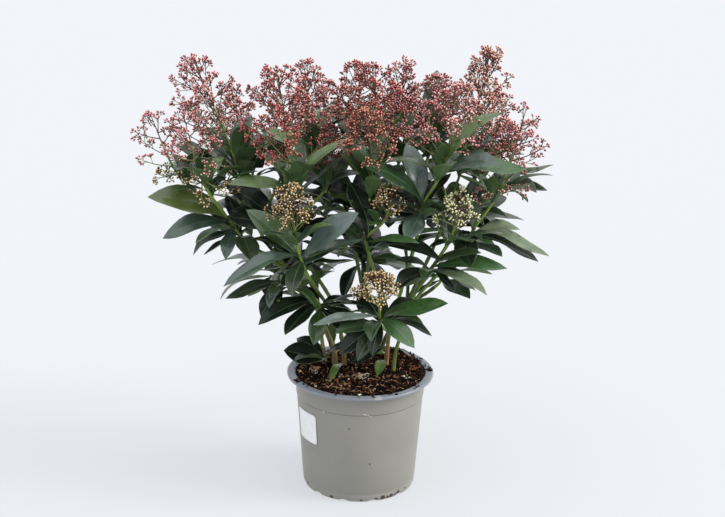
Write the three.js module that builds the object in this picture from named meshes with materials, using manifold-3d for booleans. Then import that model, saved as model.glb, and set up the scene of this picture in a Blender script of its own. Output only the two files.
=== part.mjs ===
// A skimmia in its round plastic nursery pot, as it is sold in bud.
//
// Frame: millimetres, +Z up, +X to the right and +Y away from the front of the plant.
// The origin is the centre of the pot's flat underside.
//
// Seven woody stems stand on the soil. Each carries a few boughs, each bough one mass. A mass is a
// twig with a whorl of older leaves, and green shoots that end in a whorl of young leaves and a
// panicle of flower buds. Leaves and panicles follow one seeded rule, and a leaf or a sprig that
// would touch another mass or a limb is turned a little, or else left out.

import * as THREE from 'three';
import { mergeVertices } from 'three/addons/utils/BufferGeometryUtils.js';
import Module from 'manifold-3d';

const wasm = await Module();
wasm.setup();

// ---------------------------------------------------------------- driving dimensions

const GAP = 0.3;                 // clearance between pieces that touch
const ROOT = 0.4;                // how far a leaf or a sprig is sunk past its twig's axis

const POT = {
  height: 153,
  rimRadius: 95,
  rimHeight: 4,
  rimSkin: 2,
  rimEdge: 1.5,                  // bevel round the rim's upper edge
  topRadius: 84.5,               // outside of the wall, just under the rim
  baseRadius: 73.3,
  baseEdge: 1.5,                 // bevel round the underside
  wall: 1.6,
  floor: 5,
  sides: 32,
  grooves: 12,                   // drain grooves across the edge of the underside
  grooveWidth: 11,
  grooveDepth: 2.2,
  grooveLength: 16,
};
const SOIL = { top: 144, edgeDrop: 3, edgeBand: 9, clearance: 0.7, sides: 26 };
const LABEL = { width: 40, height: 41, thickness: 0.4, turn: -147, middle: 92, columns: 4 };

const LIMB = {
  sides: 5,
  steps: 3,
  pull: 0.36,                    // how far each end's direction bends the curve, as a share of it
};
const BOUGH = {
  end: 0.74,                     // share of the way from fork to node where it ends
  stagger: 0.08,                 // share of the stem between one bough's foot and the next
  lean: 0.35,                    // how much a side bough keeps of the stem's lean
  lift: 0.5,                     // how much it turns up as it arrives
  thin: 0.9,                     // a side bough's foot, as a share of the stem's tip radius
};
const TWIG = { foot: 2.3, tip: 1.3, sides: 3, stepsPerStretch: 2, lead: 10 };

const LEAF = {
  aspect: 0.4,                   // width over length
  thickness: 1.5,
  droop: 24,                     // degrees that the blade turns down from root to tip
  fold: 0.16,                    // rise of the margins over half the width
  stations: [0, 0.34, 0.36, 0.78, 1],
  spacing: 3.6,                  // between leaf roots along the twig
  clearance: 0.45,
  bareRoot: 6.5,                 // first stretch, which may lie against its own mass
  jitter: { turn: 12, rise: 16, length: 0.12, roll: 24 },
};
const BARE_TIP = 8;              // a shoot without a panicle ends this far past its whorl
const GOLDEN_ANGLE = 137.5;
const TURNS = [0, 14, -14, 30, -30, 48, -48];   // degrees a leaf may turn to find room

// A sprig is a pair of opposite branchlets, as one three-sided body bent into a V. Each arm swells
// into a cluster of buds and closes to a point.
const SPRIG = {
  neck: 1.0,
  bud: 9.5,
  root: 0.45,
  neckAt: 0.42,                  // shares of an arm's length
  budAt: 0.74,
  rise: 26,                      // of the lowest arms, in degrees
  riseGain: 38,                  // more at the top
  knot: 6,                       // the cluster at the panicle's tip
  knotDrop: 0.6,                 // how far below the tip its middle sits, in its own radii
  testSize: 0.8,                 // of the clusters that are tested against their own mass
  jitter: { rise: 6, reach: 0.08, skew: 10 },
};
const PANICLE = {
  sprigs: 3.7,                   // in a panicle of usual width
  fewest: 2,
  fill: [0.3, 1 / 60, 1.1],      // share of them: least, gain with the width, most
  first: 0.22,                   // share of the way up its axis of the lowest sprig
  span: 0.68,                    // and from there to the highest
  topReach: 0.42,                // reach of the highest, as a share of the lowest
  taper: 0.8,
  lengthen: 0.6,                 // how much a steep arm grows to keep its reach
};

// ---------------------------------------------------------------- the plant, in plan

// Each stem: foot on the soil, tip at the fork, and radius at both.
const STEMS = {
  left: { foot: [-33, 24], tip: [-57, 0, 238], radii: [3.9, 3.0] },
  left_middle: { foot: [-21, 21], tip: [-27, -8, 216], radii: [3.3, 2.6] },
  right_middle: { foot: [34, 24], tip: [36, -6, 206], radii: [3.1, 2.4] },
  right: { foot: [43, 6], tip: [64, -22, 256], radii: [2.5, 2.1] },
  centre: { foot: [-2, 44], tip: [4, 40, 236], radii: [3.2, 2.5] },
  back_left: { foot: [-34, 52], tip: [-62, 78, 226], radii: [3.2, 2.5] },
  back_right: { foot: [26, 56], tip: [64, 72, 228], radii: [3.2, 2.5] },
};

// A whorl: how many leaves, their length and rise in degrees, the first one's turn about the
// twig, and the leaves set by hand, each [turn, rise, length].
const whorl = (count, length, rise, turn, set = []) => ({ count, length, rise, turn, set });

// A shoot: its whorl's place, its panicle's tip and half width (0 for none), and its leaves.
const shoot = (at, tip, spread, leaves) => ({ at, tip, spread, leaves });

const MASSES = {
  far_left: {
    stem: 'left', node: [-166, -28, 360],
    leaves: whorl(8, 80, 5, 40, [[-174, 14, 92, -30], [-164, -18, 84, 28], [-84, -40, 54],
      [180, -34, 64, 20], [148, 12, 84]]),
    shoots: [
      shoot([-226, -20, 412], [-262, -14, 492], 38, whorl(4, 56, 25, 200)),
      shoot([-192, -52, 412], [-214, -62, 500], 36, whorl(5, 64, 30, -60)),
    ],
  },
  left: {
    stem: 'left', node: [-140, 8, 356],
    leaves: whorl(6, 78, 18, 66, [[134, 31, 76]]),
    shoots: [
      shoot([-160, 14, 424], [-213, 26, 554], 44, whorl(6, 74, 42, 100, [[60, 62, 78]])),
      shoot([-188, 62, 402], [-226, 82, 488], 36, whorl(5, 74, 30, 150)),
    ],
  },
  centre_left: {
    stem: 'left_middle', node: [-92, -34, 356],
    leaves: whorl(7, 84, 20, -120, [[174, 30, 92, 30], [-116, 8, 58]]),
    shoots: [
      shoot([-84, -38, 402], [-106, -30, 553], 50, whorl(7, 82, 48, 30, [[-6, 49, 92], [-155, 19, 86]])),
      shoot([-44, 0, 400], [-40, 10, 474], 20, whorl(4, 76, 40, 26)),
    ],
  },
  front_left: {
    stem: 'left_middle', node: [-74, -104, 340],
    leaves: whorl(7, 84, 5, -60, [[-166, -22, 96, 25], [-21, 37, 92, -50],
      [172, 40, 88, 35], [-100, -20, 66]]),
    shoots: [shoot([-78, -108, 360], [-86, -112, 426], 25, whorl(2, 50, 20, -150))],
  },
  low_left: {
    stem: 'left_middle', node: [-54, -78, 274],
    leaves: whorl(9, 66, -12, 10, [[-148, -10, 84, 15], [-125, -18, 70], [-41, 15, 58],
      [-43, -6, 62], [152, -37, 60], [-70, -62, 52]]),
    shoots: [shoot([-98, -60, 292], null, 0, whorl(5, 64, -8, 60, [[-169, -13, 72], [-122, -34, 58]]))],
  },
  front: {
    stem: 'right_middle', node: [4, -68, 352],
    leaves: whorl(7, 82, 5, 158, [[-153, -16, 86, 20], [-44, 13, 60, -25], [80, 66, 80],
      [-100, -28, 60]]),
    shoots: [
      shoot([10, -48, 420], [5, -56, 506], 40, whorl(5, 74, 40, 100, [[60, 50, 70]])),
      shoot([28, -66, 376], [34, -72, 418], 13, whorl(3, 50, 20, -20)),
    ],
  },
  front_low: {
    stem: 'right_middle', node: [22, -106, 264],
    leaves: whorl(7, 74, 2, 90, [[-177, 0, 82, 15], [-43, -18, 62, -30], [-17, 22, 90, -20],
      [-100, -35, 50]]),
    shoots: [shoot([22, -114, 278], [19, -118, 322], 31, whorl(0, 50, 20, 0))],
  },
  front_right: {
    stem: 'right', node: [87, -62, 316],
    leaves: whorl(8, 80, -5, 120, [[-5, 3, 90, -30], [-39, -10, 84, -15], [25, -28, 72, -30],
      [-140, -11, 58, 30], [-62, -38, 86], [-100, 5, 60]]),
    shoots: [shoot([106, -72, 352], [118, -76, 414], 23, whorl(4, 64, 8, 10))],
  },
  right_inner: {
    stem: 'right_middle', node: [74, -48, 390],
    leaves: whorl(7, 84, 15, 60, [[176, 34, 100, 50], [100, 58, 80], [-133, 20, 62, 25],
      [-100, -38, 58]]),
    shoots: [
      shoot([97, -50, 436], [106, -54, 538], 44,
        whorl(6, 80, 30, 88, [[0, 47, 96, -20], [-29, 16, 78, -35], [-7, 5, 102, -24]])),
    ],
  },
  right: {
    stem: 'right', node: [138, -18, 350],
    leaves: whorl(8, 78, 0, 66, [[56, 67, 70], [-13, -14, 98, -25], [-24, -24, 80, -15],
      [2, 0, 68, -20]]),
    shoots: [
      shoot([167, -18, 398], [197, -18, 508], 36, whorl(5, 66, 22, 130, [[33, -20, 54], [-23, 26, 76]])),
      shoot([150, 34, 404], [172, 44, 476], 28, whorl(4, 68, 30, 60)),
    ],
  },
  centre: {
    stem: 'centre', node: [15, 22, 370],
    leaves: whorl(5, 86, 25, 20),
    shoots: [
      shoot([21, 12, 438], [8, 2, 552], 42, whorl(6, 80, 45, 60, [[150, 55, 84], [20, 50, 76]])),
      shoot([48, 34, 432], [46, 40, 508], 28, whorl(4, 72, 40, 160)),
    ],
  },
  back_centre: {
    stem: 'centre', node: [-24, 74, 366],
    leaves: whorl(6, 86, 20, 200),
    shoots: [
      shoot([-64, 56, 424], [-73, 64, 546], 26, whorl(6, 78, 45, 120, [[-30, 50, 72]])),
      shoot([34, 76, 424], [52, 88, 547], 24, whorl(5, 80, 42, 20)),
    ],
  },
  right_back: {
    stem: 'back_right', node: [110, 48, 362],
    leaves: whorl(6, 86, 20, -20),
    shoots: [
      shoot([130, 46, 428], [157, 52, 567], 36, whorl(5, 82, 35, 10)),
      shoot([84, 72, 448], [92, 88, 524], 30, whorl(6, 80, 40, 90, [[-90, 72, 92]])),
    ],
  },
  back_left: {
    stem: 'back_left', node: [-126, 96, 344],
    leaves: whorl(6, 86, 8, 120),
    shoots: [
      shoot([-154, 112, 402], [-176, 130, 500], 38, whorl(5, 80, 28, 150)),
      shoot([-106, 138, 396], [-112, 160, 484], 34, whorl(4, 82, 28, 80)),
    ],
  },
  back_middle: {
    stem: 'back_left', node: [-48, 138, 344],
    leaves: whorl(6, 86, 8, 90),
    shoots: [
      shoot([-52, 164, 402], [-56, 184, 500], 38, whorl(5, 80, 28, 120)),
      shoot([-12, 134, 420], [-8, 146, 532], 38, whorl(4, 82, 38, 30)),
    ],
  },
  back_inner: {
    stem: 'back_right', node: [52, 138, 342],
    leaves: whorl(6, 86, 8, 60),
    shoots: [
      shoot([58, 168, 400], [64, 190, 490], 36, whorl(5, 80, 28, 90)),
      shoot([88, 132, 412], [100, 144, 516], 34, whorl(4, 82, 34, 10)),
    ],
  },
  back_right: {
    stem: 'back_right', node: [134, 100, 336],
    leaves: whorl(6, 86, 5, 30),
    shoots: [
      shoot([154, 122, 398], [172, 138, 494], 36, whorl(5, 80, 28, 60)),
      shoot([178, 70, 386], [206, 80, 470], 34, whorl(4, 80, 20, -10)),
    ],
  },
  low_back: {
    stem: 'centre', node: [0, 122, 272],
    leaves: whorl(5, 86, -2, 90),
    shoots: [],
  },
  low_back_left: {
    stem: 'back_left', node: [-116, 40, 276],
    leaves: whorl(6, 80, -2, 160),
    shoots: [],
  },
  low_right: {
    stem: 'back_right', node: [108, 30, 274],
    leaves: whorl(6, 84, -2, 20),
    shoots: [],
  },
  foot_leaves: {
    stem: 'left', node: [-44, -12, 168],
    leaves: whorl(4, 62, 0, 150, [[-146, 8, 60], [-60, -22, 48]]),
    shoots: [],
  },
};

// ---------------------------------------------------------------- colours

const COLOURS = {
  pot: 0x8f8f88,
  soil: 0x3a221b,
  label: 0xf2f2f0,
  bark: 0x857548,
  bough: 0x6f7d38,
  foliage: 0x33493a,
};

// ---------------------------------------------------------------- small helpers

const vec = (list) => new THREE.Vector3(...list);
const radians = THREE.MathUtils.degToRad;
const UP = new THREE.Vector3(0, 0, 1);

// A seeded stream of numbers from 0 to 1.
function makeRandom(seed) {
  let state = (seed * 2654435761) >>> 0;
  return () => {
    state = (Math.imul(state, 1664525) + 1013904223) >>> 0;
    return state / 4294967296;
  };
}

function spread(random, size) {
  return (random() * 2 - 1) * size;
}

// Leaves only positions, with the vertices that faces share merged.
function weld(geometry) {
  geometry.deleteAttribute('normal');
  geometry.deleteAttribute('uv');
  return mergeVertices(geometry, 1e-4);
}

function toSolid(geometry) {
  const welded = weld(geometry);
  const mesh = new wasm.Mesh({
    numProp: 3,
    vertProperties: new Float32Array(welded.getAttribute('position').array),
    triVerts: new Uint32Array(welded.getIndex().array),
  });
  return new wasm.Manifold(mesh);
}

function toGeometry(solid) {
  const mesh = solid.getMesh();
  const geometry = new THREE.BufferGeometry();
  geometry.setAttribute('position', new THREE.BufferAttribute(mesh.vertProperties, 3));
  geometry.setIndex(new THREE.BufferAttribute(mesh.triVerts, 1));
  return geometry;
}

// Keeps the largest body and drops loose scraps.
function largest(solid) {
  let best = null;
  for (const piece of solid.decompose()) {
    if (!best || piece.volume() > best.volume()) best = piece;
  }
  return best;
}

function boxesMeet(a, b) {
  for (let k = 0; k < 3; k += 1) {
    if (a.min[k] > b.max[k] || b.min[k] > a.max[k]) return false;
  }
  return true;
}

function touches(solid, list) {
  const box = solid.boundingBox();
  for (const other of list) {
    if (boxesMeet(box, other.box)) {
      const shared = solid.intersect(other.solid);
      const empty = shared.isEmpty();
      shared.delete();
      if (!empty) return true;
    }
  }
  return false;
}

function record(list, solid) {
  list.push({ solid, box: solid.boundingBox() });
}

// ---------------------------------------------------------------- limbs and twigs

// A curve from start to end that leaves along one direction and arrives along another.
function limbCurve(start, end, leave, arrive) {
  const reach = start.distanceTo(end) * LIMB.pull;
  return new THREE.CubicBezierCurve3(
    start,
    start.clone().addScaledVector(leave, reach),
    end.clone().addScaledVector(arrive, -reach),
    end,
  );
}

// A closed tapering tube along a curve, its rings moved there from a plain cylinder.
function taperedTube(curve, radiusStart, radiusEnd, sides, steps) {
  const geometry = new THREE.CylinderGeometry(1, 1, 1, sides, steps);
  const frames = curve.computeFrenetFrames(steps);
  const position = geometry.getAttribute('position');
  for (let i = 0; i < position.count; i += 1) {
    const along = position.getY(i) + 0.5;
    const step = Math.round(along * steps);
    const radius = THREE.MathUtils.lerp(radiusStart, radiusEnd, along);
    const place = curve.getPoint(along);
    place.addScaledVector(frames.normals[step], position.getX(i) * radius);
    place.addScaledVector(frames.binormals[step], -position.getZ(i) * radius);
    position.setXYZ(i, place.x, place.y, place.z);
  }
  return toSolid(geometry);
}

// ---------------------------------------------------------------- leaves

// Unit vectors of a leaf that points along a turn about Z and a rise above level, rolled about
// its own length.
function leafAxes({ turn, rise, roll = 0 }) {
  const a = radians(turn);
  const e = radians(rise);
  const along = new THREE.Vector3(Math.cos(e) * Math.cos(a), Math.cos(e) * Math.sin(a), Math.sin(e));
  const side = new THREE.Vector3(-Math.sin(a), Math.cos(a), 0).applyAxisAngle(along, -radians(roll));
  return { along, side, face: along.clone().cross(side) };
}

// Half the blade's width at a share of its length, as a share of the full width.
function bladeHalf(share) {
  return 0.5 * Math.sin(Math.PI * share ** 1.25) ** 0.9;
}

// A leaf: a flat six-cornered body, with its midrib bent down and its margins raised.
function leafSolid(root, pose, grow = 0) {
  const geometry = new THREE.SphereGeometry(1, 6, 2);
  const position = geometry.getAttribute('position');
  const { along, side, face } = leafAxes(pose);
  const { length } = pose;
  const sag = Math.tan(radians(LEAF.droop) / 2) * length;
  for (let i = 0; i < position.count; i += 1) {
    const station = Math.round((position.getX(i) + 1) * 2);
    const share = LEAF.stations[station];
    const height = position.getY(i);
    const across = -Math.sign(Math.round(position.getZ(i) * 10))
      * (length * LEAF.aspect * bladeHalf(share) + grow);
    const arch = 2 * sag * share * (1 - share);
    const lift = height * (LEAF.thickness / 2 + grow) + arch + Math.abs(across) * LEAF.fold;
    const reach = share * (length + ROOT + grow) - ROOT;
    const place = root.clone().addScaledVector(along, reach);
    place.addScaledVector(side, across).addScaledVector(face, lift);
    position.setXYZ(i, place.x, place.y, place.z);
  }
  return toSolid(geometry);
}

// ---------------------------------------------------------------- pot, soil and label

function ring(points, sides) {
  return toSolid(new THREE.LatheGeometry(points.map(([r, z]) => new THREE.Vector2(r, z)), sides)
    .rotateX(Math.PI / 2));
}

function wallRadius(z) {
  return THREE.MathUtils.lerp(POT.baseRadius, POT.topRadius, z / POT.height);
}

function makePot() {
  const { height, rimRadius, rimHeight, rimSkin, rimEdge } = POT;
  const { topRadius, baseRadius, baseEdge, wall, floor } = POT;
  const underRim = height - rimSkin;
  let pot = ring([
    [0, 0],
    [baseRadius - baseEdge, 0],
    [baseRadius, baseEdge],
    [topRadius, underRim],
    [rimRadius - rimSkin, underRim],
    [rimRadius - rimSkin, height - rimHeight],
    [rimRadius, height - rimHeight],
    [rimRadius, height - rimEdge],
    [rimRadius - rimEdge, height],
    [topRadius - wall, height],
    [baseRadius - wall, floor],
    [0, floor],
  ], POT.sides);
  for (let k = 0; k < POT.grooves; k += 1) {
    const groove = new THREE.BoxGeometry(POT.grooveLength, POT.grooveWidth, POT.grooveDepth * 2);
    groove.translate(POT.baseRadius, 0, 0);
    groove.rotateZ((2 * Math.PI * (k + 0.5)) / POT.grooves);
    pot = pot.subtract(toSolid(groove));
  }
  return pot;
}

function makeSoil() {
  const { top, edgeDrop, edgeBand, clearance, sides } = SOIL;
  const inset = POT.wall + clearance;
  const bottom = POT.floor + GAP;
  return ring([
    [0, bottom],
    [wallRadius(bottom) - inset, bottom],
    [wallRadius(top - edgeDrop) - inset, top - edgeDrop],
    [wallRadius(top) - inset - edgeBand, top],
    [0, top],
  ], sides);
}

// A plain sticker, bent round the pot's sloping wall.
function makeLabel() {
  const { width, height, thickness, turn, middle, columns } = LABEL;
  const geometry = new THREE.BoxGeometry(width, height, thickness, columns, 1, 1);
  const position = geometry.getAttribute('position');
  for (let i = 0; i < position.count; i += 1) {
    const z = middle + position.getY(i);
    const radius = wallRadius(z) + GAP + thickness / 2 + position.getZ(i);
    const angle = radians(turn) + position.getX(i) / wallRadius(middle);
    position.setXYZ(i, radius * Math.cos(angle), radius * Math.sin(angle), z);
  }
  return toSolid(geometry);
}

// ---------------------------------------------------------------- panicles

// The V of two arms through the root, as a ring of three points at each station.
function sprigSolid(root, pose, grow = 0) {
  const { length } = pose;
  const reaches = [-1, -SPRIG.budAt, -SPRIG.neckAt, 0, SPRIG.neckAt, SPRIG.budAt, 1];
  const radii = [0, SPRIG.bud, SPRIG.neck, SPRIG.root, SPRIG.neck, SPRIG.bud, 0];
  const geometry = new THREE.SphereGeometry(1, 3, reaches.length - 1);
  const position = geometry.getAttribute('position');
  const right = leafAxes(pose);
  const left = leafAxes({ turn: pose.turn + 180, rise: pose.rise + pose.skew });
  for (let i = 0; i < position.count; i += 1) {
    const polar = Math.acos(THREE.MathUtils.clamp(position.getY(i), -1, 1));
    const station = Math.round((polar / Math.PI) * (reaches.length - 1));
    const share = reaches[station];
    const radius = radii[station] ? (radii[station] + grow) / Math.sin(polar) : 0;
    const arm = share < 0 ? left : right;
    const place = root.clone().addScaledVector(arm.along, Math.abs(share) * (length + grow));
    place.addScaledVector(right.side, -position.getZ(i) * radius);
    const face = share === 0 ? UP : arm.face;
    place.addScaledVector(face, (share < 0 ? -1 : 1) * position.getX(i) * radius);
    position.setXYZ(i, place.x, place.y, place.z);
  }
  return toSolid(geometry);
}

// ---------------------------------------------------------------- growing the plant

const stems = new Map();
const boughs = new Map();
const masses = new Map();
const limbs = [];                // all that no mass may touch

function growStems() {
  for (const [name, { foot, tip, radii }] of Object.entries(STEMS)) {
    const start = vec([...foot, SOIL.top + GAP]);
    const end = vec(tip);
    const lean = end.clone().sub(start).normalize();
    const curve = limbCurve(start, end, UP, lean);
    const tube = taperedTube(curve, radii[0], radii[1], LIMB.sides, LIMB.steps);
    const guard = taperedTube(curve, radii[0] + GAP, radii[1] + GAP, LIMB.sides, LIMB.steps);
    stems.set(name, { curve, radii, solid: tube, guards: [guard], count: 0 });
    record(limbs, tube);
  }
}

// The bough leaves its stem's tip, or its side a little lower, and is cut clear of its neighbours.
function growBough(name, mass) {
  const stem = stems.get(mass.stem);
  const order = stem.count;
  stem.count += 1;
  const lean = stem.curve.getTangent(1);
  const start = order === 0
    ? stem.curve.getPoint(1).addScaledVector(lean, GAP)
    : stem.curve.getPoint(1 - BOUGH.stagger * order);
  const node = vec(mass.node);
  const away = node.clone().sub(start).normalize();
  const leave = order === 0 ? lean : away.clone().lerp(lean, BOUGH.lean).normalize();
  const arrive = away.clone().addScaledVector(UP, BOUGH.lift).normalize();
  const whole = limbCurve(start, node, leave, arrive);
  const end = whole.getPoint(BOUGH.end);
  const heading = whole.getTangent(BOUGH.end);
  const radiusStart = stem.radii[1] * (order === 0 ? 1 : BOUGH.thin);
  const curve = limbCurve(start, end, leave, heading);
  let solid = taperedTube(curve, radiusStart, TWIG.foot, LIMB.sides, LIMB.steps);
  for (const guard of stem.guards) solid = solid.subtract(guard);
  solid = largest(solid);
  stem.guards.push(taperedTube(curve, radiusStart + GAP, TWIG.foot + GAP, LIMB.sides, LIMB.steps));
  boughs.set(name, { curve, solid });
  record(limbs, solid);
  mass.foot = end.clone().addScaledVector(heading, GAP);
  mass.heading = heading;
}

// A smooth stem through points; the point of number k lies at the share k of the stretches.
function twig(points) {
  const curve = new THREE.CatmullRomCurve3(points);
  const stretches = points.length - 1;
  const steps = stretches * TWIG.stepsPerStretch;
  const solid = taperedTube(curve, TWIG.foot, TWIG.tip, TWIG.sides, steps);
  // the place a given way back from point k, towards the one before it
  const before = (k, way) => {
    const stretch = points[k].distanceTo(points[k - 1]);
    return curve.getPoint((k - Math.min(0.9, way / stretch)) / stretches);
  };
  const after = (k, share) => curve.getPoint((k + share) / stretches);
  return { solid, before, after };
}

// One stem runs from the bough's tip through the node and up the first shoot; the others leave
// the node.
function growTwigs(mass) {
  const node = vec(mass.node);
  const foot = [mass.foot, mass.foot.clone().addScaledVector(mass.heading, TWIG.lead), node];
  mass.whorls = [];
  const stems = mass.shoots.length ? mass.shoots : [null];
  stems.forEach((spec, index) => {
    const points = index === 0 ? foot.slice() : [node.clone()];
    const nodeAt = points.length - 1;
    if (spec) {
      const at = vec(spec.at);
      const finish = spec.tip ? vec(spec.tip) : at.clone().addScaledVector(UP, BARE_TIP);
      points.push(at, finish);
    }
    const stem = twig(points);
    mass.parts.push(stem.solid);
    if (index === 0) mass.whorls.push({ stem, point: nodeAt, leaves: mass.leaves });
    if (spec) mass.whorls.push({ stem, point: nodeAt + 1, leaves: spec.leaves });
    if (spec && spec.tip) mass.panicles.push({ stem, point: nodeAt + 1, width: spec.spread });
  });
}

// Tries a piece at a few turns, and keeps the first that touches nothing.
function tryPlaces(mass, make, root, pose, bare) {
  for (const swing of TURNS) {
    const turned = { ...pose, turn: pose.turn + swing };
    const guard = make(root, turned, LEAF.clearance);
    const near = bare(root, turned);
    const blocked = touches(guard, limbs) || touches(near, mass.own)
      || [...masses.values()].some((other) => other !== mass && touches(guard, other.placed));
    guard.delete();
    if (!blocked) {
      const solid = make(root, turned);
      record(mass.placed, solid);
      record(mass.own, make === leafSolid ? near : solid);
      mass.parts.push(solid);
      return;
    }
  }
}

// Near its root a leaf may lie against its own mass, so only the rest of the blade is tested.
function bareLeaf(root, pose) {
  const start = root.clone().addScaledVector(leafAxes(pose).along, LEAF.bareRoot);
  return leafSolid(start, { ...pose, length: pose.length - LEAF.bareRoot }, LEAF.clearance);
}

// Of a sprig only the two clusters are tested against its own mass.
function bareSprig(root, pose) {
  const { along } = leafAxes(pose);
  const other = leafAxes({ turn: pose.turn + 180, rise: pose.rise + pose.skew }).along;
  const knot = (way) => {
    const geometry = new THREE.OctahedronGeometry(SPRIG.bud * SPRIG.testSize);
    const place = root.clone().addScaledVector(way, pose.length * SPRIG.budAt);
    return toSolid(geometry.translate(place.x, place.y, place.z));
  };
  return knot(along).add(knot(other));
}

function growSetLeaves(mass) {
  for (const { stem, point, leaves } of mass.whorls) {
    leaves.set.forEach(([turn, rise, length, roll = 0], index) => {
      const root = stem.before(point, (index + 0.5) * LEAF.spacing);
      tryPlaces(mass, leafSolid, root, { turn, rise, length, roll }, bareLeaf);
    });
  }
}

function growOtherLeaves(mass) {
  const { jitter } = LEAF;
  for (const { stem, point, leaves } of mass.whorls) {
    for (let index = leaves.set.length; index < leaves.count; index += 1) {
      const pose = {
        turn: leaves.turn + index * GOLDEN_ANGLE + spread(mass.random, jitter.turn),
        rise: leaves.rise + spread(mass.random, jitter.rise),
        length: leaves.length * (1 + spread(mass.random, jitter.length)),
        roll: spread(mass.random, jitter.roll),
      };
      const root = stem.before(point, (index + 0.5) * LEAF.spacing);
      tryPlaces(mass, leafSolid, root, pose, bareLeaf);
    }
  }
}

function sprigCount(width) {
  const [least, gain, most] = PANICLE.fill;
  return Math.max(PANICLE.fewest, Math.round(PANICLE.sprigs * Math.min(most, least + gain * width)));
}

// How far out a sprig reaches at a share of the panicle's height, as a share of its half width.
function panicleReach(share) {
  return PANICLE.topReach + (1 - PANICLE.topReach) * (1 - share) ** PANICLE.taper;
}

// The cluster that closes a panicle's tip.
function addKnot(mass, top, turn) {
  const knot = new THREE.OctahedronGeometry(SPRIG.knot).rotateZ(radians(turn));
  knot.translate(top.x, top.y, top.z - SPRIG.knot * SPRIG.knotDrop);
  const solid = toSolid(knot);
  record(mass.placed, solid);
  mass.parts.push(solid);
}

function growPanicles(mass) {
  const { jitter } = SPRIG;
  for (const { stem, point, width } of mass.panicles) {
    const count = sprigCount(width);
    const turn = 360 * mass.random();
    for (let j = 0; j < count; j += 1) {
      const share = j / count;
      const rise = SPRIG.rise + SPRIG.riseGain * share + spread(mass.random, jitter.rise);
      const reach = width * panicleReach(share) * (1 + spread(mass.random, jitter.reach));
      const pose = {
        turn: turn + (j * GOLDEN_ANGLE) / 2,
        rise,
        skew: spread(mass.random, jitter.skew),
        length: reach / Math.cos(radians(rise)) ** PANICLE.lengthen,
      };
      const root = stem.after(point, PANICLE.first + PANICLE.span * share);
      tryPlaces(mass, sprigSolid, root, pose, bareSprig);
    }
    addKnot(mass, stem.after(point, 1), turn);
  }
}

function growMasses() {
  for (const [name, spec] of Object.entries(MASSES)) {
    const random = makeRandom(masses.size + 1);
    const mass = { ...spec, random, panicles: [], parts: [], placed: [], own: [] };
    growBough(name, mass);
    masses.set(name, mass);
  }
  for (const mass of masses.values()) {
    growTwigs(mass);
    mass.parts.forEach((part) => {
      record(mass.placed, part);
      record(mass.own, part);
    });
  }
  for (const mass of masses.values()) growSetLeaves(mass);
  for (const mass of masses.values()) growPanicles(mass);
  for (const mass of masses.values()) growOtherLeaves(mass);
}

function fuse(parts) {
  return largest(parts.reduce((whole, part) => whole.add(part)));
}

// ---------------------------------------------------------------- the object

const skimmia = new THREE.Group();

function addNode(name, solid, colour, roughness) {
  const material = new THREE.MeshStandardMaterial({ color: colour, roughness, metalness: 0 });
  const mesh = new THREE.Mesh(toGeometry(solid), material);
  mesh.name = name;
  skimmia.add(mesh);
}

const pot = makePot();
const soil = makeSoil();
record(limbs, pot);
record(limbs, soil);
growStems();
growMasses();

addNode('pot', pot, COLOURS.pot, 0.5);
addNode('soil', soil, COLOURS.soil, 0.95);
addNode('label', makeLabel(), COLOURS.label, 0.6);
for (const [name, stem] of stems) addNode(`${name}_stem`, stem.solid, COLOURS.bark, 0.8);
for (const [name, bough] of boughs) addNode(`${name}_bough`, bough.solid, COLOURS.bough, 0.7);
for (const [name, mass] of masses) addNode(`${name}_mass`, fuse(mass.parts), COLOURS.foliage, 0.5);

export default skimmia;
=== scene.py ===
"""A skimmia in bud in its round nursery pot: the looks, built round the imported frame.

The tables and the growing rule are the part's own, written again here in millimetres, and carried
on to finer leaves, twigs and buds. Shape.piece turns millimetres into Blender's metres.
"""

import math
from types import SimpleNamespace as Values

import bmesh
import bpy
import numpy as np
from mathutils import Matrix, Vector, noise
from mathutils.bvhtree import BVHTree


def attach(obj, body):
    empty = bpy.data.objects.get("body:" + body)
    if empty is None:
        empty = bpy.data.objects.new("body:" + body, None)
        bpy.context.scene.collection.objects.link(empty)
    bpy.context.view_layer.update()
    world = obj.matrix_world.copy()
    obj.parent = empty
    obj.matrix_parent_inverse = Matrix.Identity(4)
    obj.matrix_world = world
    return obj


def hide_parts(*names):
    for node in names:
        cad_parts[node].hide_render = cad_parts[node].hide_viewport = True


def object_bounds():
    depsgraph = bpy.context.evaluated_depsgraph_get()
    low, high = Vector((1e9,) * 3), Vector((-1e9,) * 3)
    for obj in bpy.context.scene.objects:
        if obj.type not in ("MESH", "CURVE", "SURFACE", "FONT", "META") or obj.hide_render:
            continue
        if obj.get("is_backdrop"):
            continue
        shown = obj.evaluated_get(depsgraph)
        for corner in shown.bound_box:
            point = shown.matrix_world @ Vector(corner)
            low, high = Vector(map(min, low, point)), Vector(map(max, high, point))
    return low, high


MM = 0.001

# ------------ driving dimensions, in mm

GAP = 0.3
ROOT = 0.4                      # how far a leaf is sunk past its twig's axis
GOLDEN_ANGLE = 137.5
TURNS = (0, 14, -14, 30, -30, 48, -48)   # degrees a leaf may turn to find room

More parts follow.
